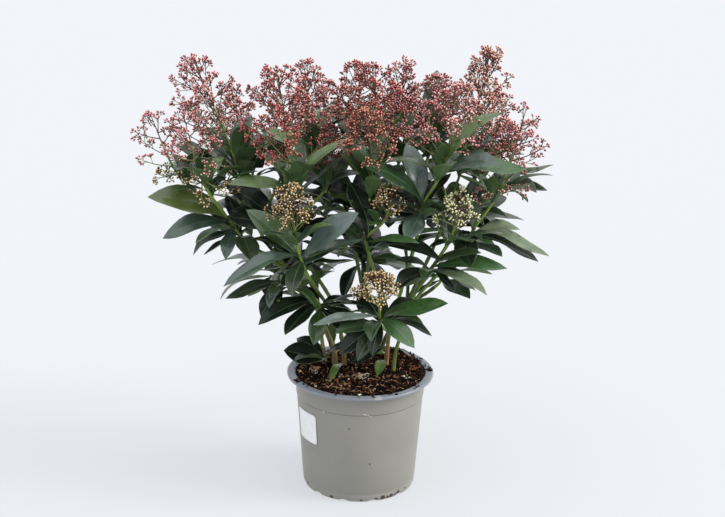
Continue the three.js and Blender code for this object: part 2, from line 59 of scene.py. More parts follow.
POT = Values(
    height=153.0,
    rim_radius=95.0,
    rim_height=3.6,
    plain_lip=2.0,              # the lip of the plain body that is tested for room
    top_radius=84.5,
    base_radius=73.3,
    wall=1.6,
    floor=5.0,
    line=124.0,                 # where the wall steps out to its upper band
    step=0.5,
    grooves=12,
    groove_width=11.0,
    groove_depth=2.2,
    groove_band=10.0,           # how far in from the base's edge
    groove_fade=4.0,            # the height where it ends
    sides=192,
)
SOIL_TOP = 144.0
LABEL = Values(
    width=40.0,
    height=41.0,
    corner=3.0,
    turn=-147.0,                # degrees
    middle=92.0,                # height
    lifts=(0.6, 0.9),           # of its back and its front from the wall
    grid=(30, 24),              # columns and rows
)

LIMB = Values(pull=0.36, sides=14, ring=2.6, fewest_rings=8)
BOUGH = Values(end=0.74, stagger=0.08, lean=0.35, lift=0.5, thin=0.9)
TWIG = Values(foot=2.3, tip=1.3, lead=10.0, sides=9, rings=16)
BARE_TIP = 8.0                  # a shoot without a panicle ends this far past its whorl

LEAF = Values(
    aspect=0.4,
    outline=(1.25, 0.9, 0.5),   # as half_width takes it
    thickness=1.5,              # of the plain body that is tested for room
    droop=24.0,
    fold=0.16,
    spacing=3.6,
    clearance=0.45,
    bare_root=6.5,
)
SEEDED = Values(                # leaves by rule: added to their whorl's angles, times its length
    turn=0,
    rise=0,
    length=1,
    jitter=Values(turn=12, rise=16, length=0.12, roll=24),
)
SPRIG = Values(
    bud=9.5,
    bud_at=0.74,
    test_size=0.8,
    rise=26,
    rise_gain=38,
    jitter=Values(rise=6, reach=0.08, skew=10),
)
PANICLE = Values(
    sprigs=3.7,
    fewest=2,
    fill=(0.3, 1 / 60, 1.1),
    first=0.22,
    span=0.68,
    top_reach=0.42,
    taper=0.8,
    lengthen=0.6,
)

# ------------ the plant, in plan

STEMS = {
    "left": Values(foot=(-33, 24), tip=(-57, 0, 238), radii=(3.9, 3.0)),
    "left_middle": Values(foot=(-21, 21), tip=(-27, -8, 216), radii=(3.3, 2.6)),
    "right_middle": Values(foot=(34, 24), tip=(36, -6, 206), radii=(3.1, 2.4)),
    "right": Values(foot=(43, 6), tip=(64, -22, 256), radii=(2.5, 2.1)),
    "centre": Values(foot=(-2, 44), tip=(4, 40, 236), radii=(3.2, 2.5)),
    "back_left": Values(foot=(-34, 52), tip=(-62, 78, 226), radii=(3.2, 2.5)),
    "back_right": Values(foot=(26, 56), tip=(64, 72, 228), radii=(3.2, 2.5)),
}


def whorl(count, length, rise, turn, placed=()):
    """How many leaves, their length and rise, the first one's turn, and those placed one by one."""
    return Values(count=count, length=length, rise=rise, turn=turn, placed=placed)


def shoot(at, tip, spread, leaves, tone="red", skirt=None, full=1.0):
    """A whorl's place and leaves, with its panicle's tip and half width, and its buds' tone,
    skirt and fullness."""
    return Values(at=at, tip=tip, spread=spread, leaves=leaves, tone=tone, skirt=skirt, full=full)


def foliage(stem, node, leaves, *shoots):
    """Its stem, the node where its bough ends, the whorl there and the shoots above it."""
    return Values(stem=stem, node=node, leaves=leaves, shoots=shoots)


# Leaves placed one by one: turn, rise, length, roll, tone, width; the last ones may be left out

MASSES = {
    "far_left": foliage("left", (-166, -28, 360), whorl(8, 80, 5, 40, (
        (-176, 21, 106, 38, "olive", 1.05), (-167, -9, 86, 28, "blue"), (-98, -36, 52, 0, "blue"),
        (180, -34, 64, 20), (148, 12, 84))),
        shoot((-226, -20, 412), (-262, -14, 492), 38, whorl(4, 56, 25, 200),
              tone="rose", skirt="dust", full=0.15),
        shoot((-192, -52, 412), (-214, -62, 500), 36, whorl(5, 64, 30, -60),
              tone="rose", skirt="dust", full=0.2)),
    "left": foliage("left", (-140, 8, 356), whorl(6, 78, 18, 66, ((134, 31, 76),)),
        shoot((-160, 14, 424), (-213, 26, 554), 44, whorl(6, 74, 42, 100, (
              (66, 56, 66, 0, "blue", 1.25),)), tone="rose", full=0.8),
        shoot((-188, 62, 402), (-226, 82, 488), 36, whorl(5, 74, 30, 150), full=0.2)),
    "centre_left": foliage("left_middle", (-92, -34, 356), whorl(7, 84, 20, -120, (
        (174, 30, 92, 30, "black"), (-116, 8, 58))),
        shoot((-84, -38, 402), (-106, -30, 553), 50, whorl(7, 82, 48, 30, (
              (-2, 49, 94, -50, "light", 0.42), (-155, 12, 86, 26, "soft", 0.85)))),
        shoot((-44, 0, 400), (-40, 10, 474), 20, whorl(4, 76, 40, 26), tone="dark")),
    "front_left": foliage("left_middle", (-74, -104, 340), whorl(7, 84, 5, -60, (
        (-158, -17, 98, 25, "blue", 0.7), (-12, 41, 92, -50, "slate", 1.1), (172, 40, 88, 35),
        (-100, -20, 66))),
        shoot((-78, -108, 360), (-86, -112, 426), 25, whorl(2, 50, 20, -150),
              tone="bronze", full=1.4)),
    "low_left": foliage("left_middle", (-54, -78, 274), whorl(9, 66, -12, 10, (
        (-148, -10, 84, 15, "black"), (-125, -18, 70, 0, "black"), (-41, 15, 58), (-43, -6, 62),
        (152, -37, 60, 0, "black"), (-70, -62, 52))),
        shoot((-98, -60, 292), None, 0, whorl(5, 64, -8, 60, ((-169, -13, 72, 24, "dark"),
              (-122, -34, 58, 18, "black", 1.25))))),
    "front": foliage("right_middle", (4, -68, 352), whorl(7, 82, 5, 158, (
        (-153, -16, 86, 20, "blue", 0.8), (-36, 9, 78, -20, "fresh", 0.7),
        (80, 66, 80, 0, "black", 1.1), (-100, -28, 60))),
        shoot((10, -48, 420), (5, -56, 506), 40, whorl(5, 74, 40, 100, (
              (60, 50, 70),)), tone="orange"),
        shoot((28, -66, 376), (34, -72, 418), 13, whorl(3, 50, 20, -20), tone="dust", full=1.2)),
    "front_low": foliage("right_middle", (22, -106, 264), whorl(7, 74, 2, 90, (
        (-177, -3, 82, 15, "steel", 0.6), (-43, -18, 62, -30, "fresh", 1.15),
        (-17, 22, 90, -20, "fresh"), (-100, -35, 50))),
        shoot((22, -114, 278), (19, -118, 322), 28, whorl(0, 50, 20, 0), tone="dust", full=2.6)),
    "front_right": foliage("right", (87, -62, 316), whorl(7, 80, -5, 120, (
        (-5, 3, 90, -30, "fresh", 0.8), (-39, -10, 84, -15, "silver", 0.7),
        (25, -28, 72, -30, "black"), (-140, -11, 58, 30, "silver"), (-52, -20, 46),
        (-100, 5, 60))),
        shoot((106, -72, 352), (118, -76, 414), 21, whorl(4, 64, 8, 10), tone="cream", full=0.8)),
    "right_inner": foliage("right_middle", (74, -48, 390), whorl(7, 84, 15, 60, (
        (176, 34, 100, 40, "deep"), (112, 58, 84, 0, "slate"), (-133, 20, 62, 25, "black"),
        (-123, -20, 58, 20, "blue", 1.2))),
        shoot((97, -50, 436), (106, -54, 538), 44, whorl(6, 80, 30, 88, ((0, 47, 96, -20, "light"),
              (-29, 16, 78, -35, "blue", 1.05), (-7, 5, 102, -24, "fresh", 0.85))), tone="rose")),
    "right": foliage("right", (138, -18, 350), whorl(8, 78, 0, 66, ((46, 64, 66, 0, "blue", 1.1),
        (-25, -9, 103, -25, "silver", 0.5), (-20, -13, 92, -15, "black", 0.85),
        (8, 5, 72, -20, "silver"))),
        shoot((167, -18, 398), (197, -18, 508), 36, whorl(5, 66, 22, 130, ((33, -20, 54),
              (-23, 26, 76))), tone="rose", skirt="salmon", full=0.15),
        shoot((150, 34, 404), (172, 44, 476), 28, whorl(4, 68, 30, 60), full=0.4)),
    "centre": foliage("centre", (15, 22, 370), whorl(5, 86, 25, 20),
        shoot((21, 12, 438), (8, 2, 552), 42, whorl(6, 80, 45, 60, ((150, 55, 84), (20, 50, 76)))),
        shoot((48, 34, 432), (46, 40, 508), 28, whorl(4, 72, 40, 160), tone="rose")),
    "back_centre": foliage("centre", (-24, 74, 366), whorl(6, 86, 20, 200),
        shoot((-64, 56, 424), (-73, 64, 546), 26, whorl(6, 78, 45, 120, (
              (-30, 50, 72),)), tone="rose"),
        shoot((34, 76, 424), (52, 88, 547), 24, whorl(5, 80, 42, 20), tone="rose")),
    "right_back": foliage("back_right", (110, 48, 362), whorl(6, 86, 20, -20),
        shoot((130, 46, 428), (157, 52, 567), 36, whorl(5, 82, 35, 10), tone="salmon", full=1.4),
        shoot((84, 72, 448), (92, 88, 524), 30, whorl(6, 80, 40, 90, (
              (84, 75, 100, 0, "fresh", 0.95),)), tone="rose")),
    "back_left": foliage("back_left", (-126, 96, 344), whorl(6, 86, 8, 120),
        shoot((-154, 112, 402), (-176, 130, 500), 38, whorl(5, 80, 28, 150), full=0.6),
        shoot((-106, 138, 396), (-112, 160, 484), 34, whorl(4, 82, 28, 80), tone="rose")),
    "back_middle": foliage("back_left", (-48, 138, 344), whorl(6, 86, 8, 90),
        shoot((-52, 164, 402), (-56, 184, 500), 38, whorl(5, 80, 28, 120), tone="rose"),
        shoot((-12, 134, 420), (-8, 146, 532), 38, whorl(4, 82, 38, 30))),
    "back_inner": foliage("back_right", (52, 138, 342), whorl(6, 86, 8, 60),
        shoot((58, 168, 400), (64, 190, 490), 36, whorl(5, 80, 28, 90), tone="salmon"),
        shoot((88, 132, 412), (100, 144, 516), 34, whorl(4, 82, 34, 10))),
    "back_right": foliage("back_right", (134, 100, 336), whorl(6, 86, 5, 30),
        shoot((154, 122, 398), (172, 138, 494), 36, whorl(5, 80, 28, 60)),
        shoot((178, 70, 386), (206, 80, 470), 34, whorl(4, 80, 20, -10), tone="rose", full=0.4)),
    "low_back": foliage("centre", (0, 122, 272), whorl(5, 86, -2, 90)),
    "low_back_left": foliage("back_left", (-116, 40, 276), whorl(6, 80, -2, 160)),
    "low_right": foliage("back_right", (108, 30, 274), whorl(4, 66, -2, 20)),
    "foot_leaves": foliage("left", (-44, -12, 168), whorl(4, 62, 0, 150, (
        (-176, 14, 56, 44, "black", 1.5), (-60, -22, 44, -20)))),
}

# More of them, in the first whorl of a mass, beyond its count

HAND_LEAVES = {
    "far_left": ((-169, -5, 98, 10, "silver", 0.7), (116, 42, 60, 0, "black")),
    "centre_left": ((150, 15, 80, 10, "black", 1.1), (178, 20, 84, 30, "black", 1.1)),
    "front_right": ((-20, 28, 78, -20, "green", 1.1),),
    "right_inner": ((-175, 17, 40, 20, "green", 1.2),),
    "low_back": ((35, -20, 76, -40, "black", 1.2),),
    "foot_leaves": ((148, 22, 48, 30, "black", 1.2),),
    "front_low": ((-125, -38, 58, 20, "dark"), (-165, -36, 62, 30, "black", 1.1),
                  (150, -30, 58, 10, "black", 1.1)),
    "low_left": ((-20, -34, 60, -30, "black", 1.1), (-95, -34, 56, 10, "mid", 1.1)),
}

# Leaves on the foot of a stem: their mass, where they stand, and the same again

STEM_LEAVES = (
    ("right_back", (84, 72, 452), (82, 53, 91, 0, "blue", 0.75)),
    ("centre_left", (-44, 0, 396), (128, 5, 56, 30, "black", 1.2)),
    ("low_left", (-22, 10, 157), (-105, -3, 58, 0, "light", 0.6)),
    ("front_low", (34, 19, 178), (-166, -22, 54, 30, "black", 1.0)),
    ("front_low", (33, 16, 160), (-107, -8, 42, 0, "light", 1.05)),
    ("front_low", (33, 20, 168), (176, 12, 44, 40, "light", 1.0)),
    ("right", (45, 3, 180), (-30, -10, 24, 20, "green", 1.1)),
    ("far_left", (-38, 20, 170), (-100, 84, 46, 0, "olive", 0.7)),
)

# Boxes, in x, y and z, before limbs that show: a leaf without a tone that ends in one is left out

BARE = (
    ((-80, -10), (-150, -30), (150, 250)), ((-110, -80), (-50, -20), (140, 170)),
    ((-50, -25), (-170, -100), (290, 325)), ((-10, 65), (-145, -80), (300, 340)),
    ((30, 64), (-95, -10), (450, 486)), ((-6, 10), (-70, -50), (275, 290)),
    ((-60, -30), (-95, -30), (438, 452)), ((60, 80), (-125, -100), (395, 430)),
    ((-285, -270), (-60, -40), (415, 430)),
)

# ------------ colours


def linear(code):
    """A hex colour as the linear numbers that the shaders take."""
    parts = [int(code[i:i + 2], 16) / 255 for i in (1, 3, 5)]
    return tuple(((p + 0.055) / 1.055) ** 2.4 if p > 0.04045 else p / 12.92 for p in parts)


# Of these tones of a leaf's upper face, the bluish and greyish ones stand in for sheen: a painted
# reflection of the pale sky on glossy leaves.
LEAF_TONES = {
    # The darkest tone is a dark old leaf with painted shade, for leaves deep in the crown and under
    # it.
    "dark": "#1d2c1b", "green": "#293c21", "mid": "#365027", "black": "#131d15",
    "light": "#567036", "olive": "#4d5b2b", "silver": "#69765c", "blue": "#384b3f",
    "fresh": "#335527", "steel": "#84918a", "slate": "#4f5e59",
    "deep": "#20381c", "soft": "#4b6131",
}
SHINE = (0.72, 0.38)            # a leaf's specular level and coat
DULL = {"black": (0.34, 0.08), "dark": (0.45, 0.16), "underside": (0.34, 0.0), "deep": (0.3, 0.04),
        "silver": (0.5, 0.15), "slate": (0.6, 0.3)}
LEAF_PARTS = {                  # their colour and roughness, after the tones in every leaf piece
    # The margin's lighter green is a painted highlight along each leaf's edge.
    "underside": ("#4b6339", 0.55), "midrib": ("#56704a", 0.45), "margin": ("#4a6240", 0.5),
}

# A bud's tip takes the paler tip colours: partly the petals' own paler tips, partly a painted
# highlight.
BUD_TONES = {                   # calyx, bodies, tips
    "red": ("#3a1b1a", ("#8c3439", "#a04446", "#672528"), ("#e29a82", "#b85750")),
    "rose": ("#4a2a2a", ("#a24e55", "#b9686b", "#80383f"), ("#f1c9bc", "#d68f88")),
    "salmon": ("#52342b", ("#a85e58", "#c07c70", "#8d4b45"), ("#f4d8c0", "#e2ac96")),
    "orange": ("#3c1f18", ("#853936", "#994b45", "#602a26"), ("#e2a283", "#bd6f5c")),
    "dust": ("#3e351f", ("#8a6a40", "#a08052", "#5f4a33"), ("#ece0b8", "#d2b67e")),
    "bronze": ("#302615", ("#765535", "#8a6a45", "#503e2b"), ("#ddd0a8", "#c2a570")),
    "cream": ("#62663c", ("#b2b27a", "#c6c390", "#95975f"), ("#f6f3d2", "#e3deae")),
    "dark": ("#2c1615", ("#68292c", "#7a3536", "#501e20"), ("#a5605a", "#8a4743")),
}

# ------------ small maths


def changed(record, **values):
    """A copy of a record with some values changed or added."""
    return Values(**{**vars(record), **values})


def vec(*parts):
    return np.array(parts, float)


def unit(v):
    return v / np.linalg.norm(v)


UP = vec(0, 0, 1)
ASLANT = vec(0.31, 0.22, 0.9)   # angles round a branch are counted from the square to it


def smooth(t):
    """An even step from 0 to 1."""
    t = np.clip(t, 0, 1)
    return t * t * (3 - 2 * t)


def circle(sides):
    """The angles of the points of a ring."""
    return np.linspace(0, 2 * math.pi, sides, endpoint=False)


def level(angle, z=0.0):
    """The direction at an angle in plan, and how far it climbs."""
    return vec(math.cos(angle), math.sin(angle), z)


def around(axis, aside, angle):
    """The direction at an angle about an axis, counted from one that is square to it."""
    return aside * math.cos(angle) + np.cross(axis, aside) * math.sin(angle)


def square_to(ways):
    """Two directions for each given one, all three square to one another."""
    aside = np.where(np.abs(ways[:, :1]) < 0.8, vec(1, 0, 0), vec(0, 1, 0))
    normal = np.cross(ways, aside)
    normal /= np.linalg.norm(normal, axis=1)[:, None]
    return normal, np.cross(ways, normal)


class Stream:
    """The source's seeded stream of numbers from 0 to 1."""

    def __init__(self, seed):
        self.state = (seed * 2654435761) % 2**32

    def draw(self):
        self.state = (self.state * 1664525 + 1013904223) % 2**32
        return self.state / 2**32

    def spread(self, size):
        return (self.draw() * 2 - 1) * size

    def between(self, low, high):
        return low + (high - low) * self.draw()


class Bezier:
    """A curve that leaves its start along one direction and reaches its end along another."""

    def __init__(self, start, end, leave, arrive):
        reach = np.linalg.norm(end - start) * LIMB.pull
        self.points = (start, start + leave * reach, end - arrive * reach, end)

    def point(self, t):
        a, b, c, d = self.points
        s = 1 - t
        return a * s**3 + 3 * b * s * s * t + 3 * c * s * t * t + d * t**3

    def tangent(self, t):
        a, b, c, d = self.points
        s = 1 - t
        return unit((b - a) * s * s + 2 * (c - b) * s * t + (d - c) * t * t)

    def path(self, count):
        return np.array([self.point(t) for t in np.linspace(0, 1, count)])


class Chain:
    """A smooth stem through points; point number k lies at k."""

    def __init__(self, points):
        self.points = points
        self.all = [2 * points[0] - points[1], *points, 2 * points[-1] - points[-2]]

    def point(self, at):
        k = min(int(at), len(self.points) - 2)
        w = at - k
        p0, p1, p2, p3 = self.all[k:k + 4]
        d0, d1, d2 = (np.linalg.norm(b - a) ** 0.5 for a, b in ((p0, p1), (p1, p2), (p2, p3)))
        t1 = ((p1 - p0) / d0 - (p2 - p0) / (d0 + d1) + (p2 - p1) / d1) * d1
        t2 = ((p2 - p1) / d1 - (p3 - p1) / (d1 + d2) + (p3 - p2) / d2) * d1
        return (p1 + t1 * w + (-3 * p1 + 3 * p2 - 2 * t1 - t2) * w**2
                + (2 * p1 - 2 * p2 + t1 + t2) * w**3)

    def before(self, k, way):
        """The place a given way back from point k, towards the one before it."""
        stretch = np.linalg.norm(self.points[k] - self.points[k - 1])
        return self.point(k - min(0.9, way / stretch))

    def path(self, first, last, count):
        return np.array([self.point(t) for t in np.linspace(first, last, count)])


# ------------ meshes


class Shape:
    """Vertices in millimetres and faces, each with its finish's number, gathered for one piece."""

    def __init__(self):
        self.vertices = []
        self.faces = []
        self.finishes = []
        self.count = 0

    def add(self, points, *groups):
        """Adds points and groups of (faces, finish), the faces as rows of 3 or 4 corners."""
        for faces, finish in groups:
            faces = np.asarray(faces)
            self.faces.append(faces + self.count)
            self.finishes.append(np.broadcast_to(np.asarray(finish), len(faces)))
        self.vertices.append(points)
        self.count += len(points)

    def solid(self, mesh, finish):
        """Adds a closed mesh, given as points, quads and end faces, in one finish."""
        points, quads, ends = mesh
        self.add(points, (quads, finish), (ends, finish))

    def piece(self, name, materials, smooth_faces=True):
        mesh = bpy.data.meshes.new(name)
        points = np.concatenate(self.vertices) * MM
        corners = np.concatenate([faces.ravel() for faces in self.faces])
        sizes = np.concatenate([np.full(len(faces), faces.shape[1]) for faces in self.faces])
        starts = np.concatenate([[0], np.cumsum(sizes)[:-1]])
        finishes = np.concatenate(self.finishes)
        mesh.vertices.add(len(points))
        mesh.loops.add(len(corners))
        mesh.polygons.add(len(sizes))
        for data, key, values in ((mesh.vertices, "co", points.astype(np.float32).ravel()),
                                  (mesh.loops, "vertex_index", corners.astype(np.int32)),
                                  (mesh.polygons, "loop_start", starts.astype(np.int32)),
                                  (mesh.polygons, "material_index", finishes.astype(np.int32)),
                                  (mesh.polygons, "use_smooth", np.full(len(sizes), smooth_faces))):
            data.foreach_set(key, values)
        mesh.update(calc_edges=True)
        mesh.validate()
        for material in materials:
            mesh.materials.append(material)
        return place_object(name, mesh)


def place_object(name, data):
    thing = bpy.data.objects.new(name, data)
    bpy.context.scene.collection.objects.link(thing)
    return thing


def grid_quads(rows, columns, closed):
    """Quads over a grid of points, row after row; a closed one joins each row's ends."""
    i, j = np.meshgrid(np.arange(rows - 1), np.arange(columns if closed else columns - 1),
                       indexing="ij")
    after = (j + 1) % columns
    return np.stack([i * columns + j, i * columns + after,
                     (i + 1) * columns + after, (i + 1) * columns + j], -1).reshape(-1, 4)


def ring_faces(count, sides):
    """Quads along a row of rings, and fans that close its ends on two points that follow them."""
    k = np.arange(sides)
    after = (k + 1) % sides
    last = (count - 1) * sides
    foot = np.stack([after, k, np.full(sides, count * sides)], 1)
    head = np.stack([last + k, last + after, np.full(sides, count * sides + 1)], 1)
    return grid_quads(count, sides, True), np.vstack([foot, head])


def frames_along(path):
    """Normal and binormal at each point of a path, turning as little as they can."""
    tangents = np.gradient(path, axis=0)
    tangents /= np.linalg.norm(tangents, axis=1)[:, None]
    normal = square_to(tangents[:1])[0][0]
    normals = []
    for tangent in tangents:
        normal = unit(normal - tangent * (normal @ tangent))
        normals.append(normal)
    normals = np.array(normals)
    return normals, np.cross(tangents, normals)


def tube(path, radii, sides):
    """Points and faces of a closed tube; radii has a number for each ring, or for each point."""
    count = len(path)
    normals, binormals = frames_along(path)
    turn = circle(sides)
    radii = np.broadcast_to(np.asarray(radii, float).reshape(count, -1), (count, sides))
    ring = normals[:, None] * np.cos(turn)[:, None] + binormals[:, None] * np.sin(turn)[:, None]
    points = (path[:, None] + ring * radii[..., None]).reshape(-1, 3)
    return np.vstack([points, path[:1], path[-1:]]), *ring_faces(count, sides)


def rods(starts, ends, wide, narrow, sides=3):
    """Many straight tapered rods at once, each closed by its two end faces."""
    along = ends - starts
    along /= np.linalg.norm(along, axis=1)[:, None]
    normal, binormal = square_to(along)
    turn = circle(sides)
    ring = normal[:, None] * np.cos(turn)[:, None] + binormal[:, None] * np.sin(turn)[:, None]
    points = np.concatenate([starts[:, None] + ring * wide, ends[:, None] + ring * narrow], 1)
    k = np.arange(sides)
    quads = np.stack([k, (k + 1) % sides, sides + (k + 1) % sides, sides + k], 1)
    base = (np.arange(len(starts)) * 2 * sides)[:, None, None]
    hub = np.zeros(sides - 2, int)
    foot = np.stack([hub, k[2:], k[1:-1]], 1)
    head = np.stack([hub, k[1:-1], k[2:]], 1) + sides
    return (points.reshape(-1, 3), (quads[None] + base).reshape(-1, 4),
            (np.vstack([foot, head])[None] + base).reshape(-1, 3))


def lathe(profile, sides):
    """Points and quads of a profile turned round Z, its two ends closed on the axis."""
    profile = np.asarray(profile, float)
    turn = circle(sides)
    points = np.stack([np.outer(np.cos(turn), profile[:, 0]), np.outer(np.sin(turn), profile[:, 0]),
                       np.broadcast_to(profile[:, 1], (sides, len(profile)))], -1)
    count = len(profile)
    i, j = np.meshgrid(np.arange(sides), np.arange(count - 1), indexing="ij")
    after = (i + 1) % sides
    quads = np.stack([i * count + j, after * count + j,
                      after * count + j + 1, i * count + j + 1], -1).reshape(-1, 4)
    return points.reshape(-1, 3), quads


# ------------ room to grow


class Body:
    """A plain closed body, as the source has it, that tells whether another touches it."""

    def __init__(self, points, faces):
        self.low = points.min(0)
        self.high = points.max(0)
        self.tree = BVHTree.FromPolygons(points.tolist(), faces)

    def touches(self, other):
        if (self.low > other.high).any() or (other.low > self.high).any():
            return False
        return bool(self.tree.overlap(other.tree))


def tube_body(path, foot, tip, sides):
    points, quads, ends = tube(path, np.linspace(foot, tip, len(path)), sides)
    return Body(points, [*quads.tolist(), *ends.tolist()])


def leaf_axes(turn, rise, roll=0.0):
    """Unit vectors along a leaf, across it and out of its face, rolled about its length."""
    a, e, r = math.radians(turn), math.radians(rise), math.radians(roll)
    along = vec(math.cos(e) * math.cos(a), math.cos(e) * math.sin(a), math.sin(e))
    flat = vec(-math.sin(a), math.cos(a), 0)
    side = flat * math.cos(r) - np.cross(along, flat) * math.sin(r)
    return along, side, np.cross(along, side)


def half_width(share, fullest, blunt, most):
    """Half a blade's width at a share of its length, as a share of the full width."""
    return most * np.sin(np.pi * np.clip(share, 0, 1) ** fullest) ** blunt


LEAF_RING = ((0, 0), (0.34, 1), (0.78, 1), (1, 0), (0.78, -1), (0.34, -1))
LEAF_MIDDLE = 0.36              # where its top and its underside are furthest apart
LEAF_FACES = [(k, (k + 1) % 6, 6) for k in range(6)] + [((k + 1) % 6, k, 7) for k in range(6)]


def leaf_body(root, pose, grow=0.0):
    along, side, face = leaf_axes(pose.turn, pose.rise, pose.roll)
    length = pose.length
    sag = math.tan(math.radians(LEAF.droop) / 2) * length
    points = []
    for share, hand, height in [(*p, 0) for p in LEAF_RING] + [(LEAF_MIDDLE, 0, 1),
                                                               (LEAF_MIDDLE, 0, -1)]:
        half = float(half_width(share, *LEAF.outline))
        across = hand * (length * LEAF.aspect * half + grow)
        lift = (height * (LEAF.thickness / 2 + grow) + 2 * sag * share * (1 - share)
                + abs(across) * LEAF.fold)
        reach = share * (length + ROOT + grow) - ROOT
        points.append(root + along * reach + side * across + face * lift)
    return Body(np.array(points), LEAF_FACES)


def bare_leaf(root, pose):
    """The blade without its first stretch, which may lie against its own mass."""
    start = root + leaf_axes(pose.turn, pose.rise)[0] * LEAF.bare_root
    return leaf_body(start, changed(pose, length=pose.length - LEAF.bare_root), LEAF.clearance)


def sprig_body(root, pose, grow=0.0, share=1.0):
    """Octahedra round the middles of a sprig's two clusters."""
    ways = (leaf_axes(pose.turn, pose.rise)[0],
            leaf_axes(pose.turn + 180, pose.rise + pose.skew)[0])
    corners = np.vstack([np.eye(3), -np.eye(3)]) * ((SPRIG.bud + grow) * share)
    points = np.vstack([root + way * pose.length * SPRIG.bud_at + corners for way in ways])
    faces = [(base + x, base + y, base + z) for base in (0, 6)
             for x in (0, 3) for y in (1, 4) for z in (2, 5)]
    return Body(points, faces)


def bare_sprig(root, pose):
    return sprig_body(root, pose, share=SPRIG.test_size)


# ------------ growing by the source's rule

stems = {}
masses = {}
limbs = []                      # all that no mass may touch


def grow_stems():
    for name, spec in STEMS.items():
        start = vec(*spec.foot, SOIL_TOP + GAP)
        end = vec(*spec.tip)
        curve = Bezier(start, end, UP, unit(end - start))
        stems[name] = Values(curve=curve, radii=spec.radii, boughs=[])
        limbs.append(tube_body(curve.path(8), *spec.radii, 6))


def grow_bough(mass):
    stem = stems[mass.stem]
    order = len(stem.boughs)
    lean = stem.curve.tangent(1)
    if order:
        start = stem.curve.point(1 - BOUGH.stagger * order)
    else:
        start = stem.curve.point(1) + lean * GAP
    node = vec(*mass.node)
    away = unit(node - start)
    leave = unit(away * (1 - BOUGH.lean) + lean * BOUGH.lean) if order else lean
    whole = Bezier(start, node, leave, unit(away + UP * BOUGH.lift))
    end, heading = whole.point(BOUGH.end), whole.tangent(BOUGH.end)
    radius = stem.radii[1] * (BOUGH.thin if order else 1)
    curve = Bezier(start, end, leave, heading)
    stem.boughs.append(Values(curve=curve, radii=(radius, TWIG.foot)))
    limbs.append(tube_body(curve.path(8), radius, TWIG.foot, 6))
    mass.foot = [end + heading * GAP, end + heading * GAP + heading * TWIG.lead]


def grow_twigs(mass):
    """One stem runs from the bough's tip through the node and up the first shoot."""
    node = vec(*mass.node)
    for index, spec in enumerate(mass.shoots or [None]):
        points = [node] if index else [*mass.foot, node]
        at = len(points) - 1
        flowering = bool(spec and spec.tip)
        if spec:
            place = vec(*spec.at)
            points += [place, vec(*spec.tip) if flowering else place + UP * BARE_TIP]
        chain = Chain(points)
        body = tube_body(chain.path(0, len(points) - 1, 8 * len(points)),
                         TWIG.foot, TWIG.tip, 5)
        mass.placed.append(body)
        mass.own.append(body)
        mass.chains.append((chain, at, flowering))
        if index == 0:
            mass.whorls.append(Values(chain=chain, at=at, leaves=mass.leaves, age="old"))
        if spec:
            mass.whorls.append(Values(chain=chain, at=at + 1, leaves=spec.leaves, age="young"))
        if flowering:
            mass.panicles.append(Values(chain=chain, at=at + 1, spec=spec))


def try_places(mass, make, bare, root, pose):
    """Tries a piece at a few turns, and keeps the first that touches nothing."""
    for swing in TURNS:
        turned = changed(pose, turn=pose.turn + swing)
        guard = make(root, turned, LEAF.clearance)
        near = bare(root, turned)
        if any(guard.touches(limb) for limb in limbs):
            continue
        if any(near.touches(other) for other in mass.own):
            continue
        others = (m.placed for m in masses.values() if m is not mass)
        if any(guard.touches(other) for placed in others for other in placed):
            continue
        body = make(root, turned)
        mass.placed.append(body)
        mass.own.append(near if make is leaf_body else body)
        return turned
    return None


def in_the_way(root, pose):
    """Whether a leaf's tip hangs before a limb that shows."""
    tip = root + leaf_axes(pose.turn, pose.rise)[0] * pose.length
    return any(all(low < part < high for part, (low, high) in zip(tip, box)) for box in BARE)


def keep_leaf(mass, root, pose, age, tone=None, width=1.0):
    pose = try_places(mass, leaf_body, bare_leaf, root, pose)
    if pose and (tone or not in_the_way(root, pose)):
        mass.blades.append(changed(pose, root=root, age=age, tone=tone, width=width))


def read_row(row):
    """A leaf's pose, tone and width from a row of a table, whose last values may be left out."""
    turn, rise, length, roll, tone, width = (*row, *(0, None, 1.0)[len(row) - 3:])
    return Values(turn=turn, rise=rise, length=length, roll=roll), tone, width


def grow_placed_leaves(name, mass):
    for number, spot in enumerate(mass.whorls):
        rows = spot.leaves.placed + (() if number else HAND_LEAVES.get(name, ()))
        for index, row in enumerate(rows):
            pose, tone, width = read_row(row)
            root = spot.chain.before(spot.at, (index + 0.5) * LEAF.spacing)
            keep_leaf(mass, root, pose, spot.age, tone, width)


def grow_stem_leaves():
    for name, place, row in STEM_LEAVES:
        pose, tone, width = read_row(row)
        leaf = changed(pose, root=vec(*place), age="old", tone=tone, width=width)
        masses[name].blades.append(leaf)


def seeded_pose(leaves, index, stream, rule):
    """The pose of a leaf that no hand has placed."""
    jitter = rule.jitter
    return Values(
        turn=leaves.turn + rule.turn + index * GOLDEN_ANGLE + stream.spread(jitter.turn),
        rise=leaves.rise + rule.rise + stream.spread(jitter.rise),
        length=leaves.length * (rule.length + stream.spread(jitter.length)),
        roll=stream.spread(jitter.roll),
    )


def grow_other_leaves(mass):
    for spot in mass.whorls:
        leaves = spot.leaves
        for index in range(len(leaves.placed), leaves.count):
            pose = seeded_pose(leaves, index, mass.stream, SEEDED)
            root = spot.chain.before(spot.at, (index + 0.5) * LEAF.spacing)
            keep_leaf(mass, root, pose, spot.age)


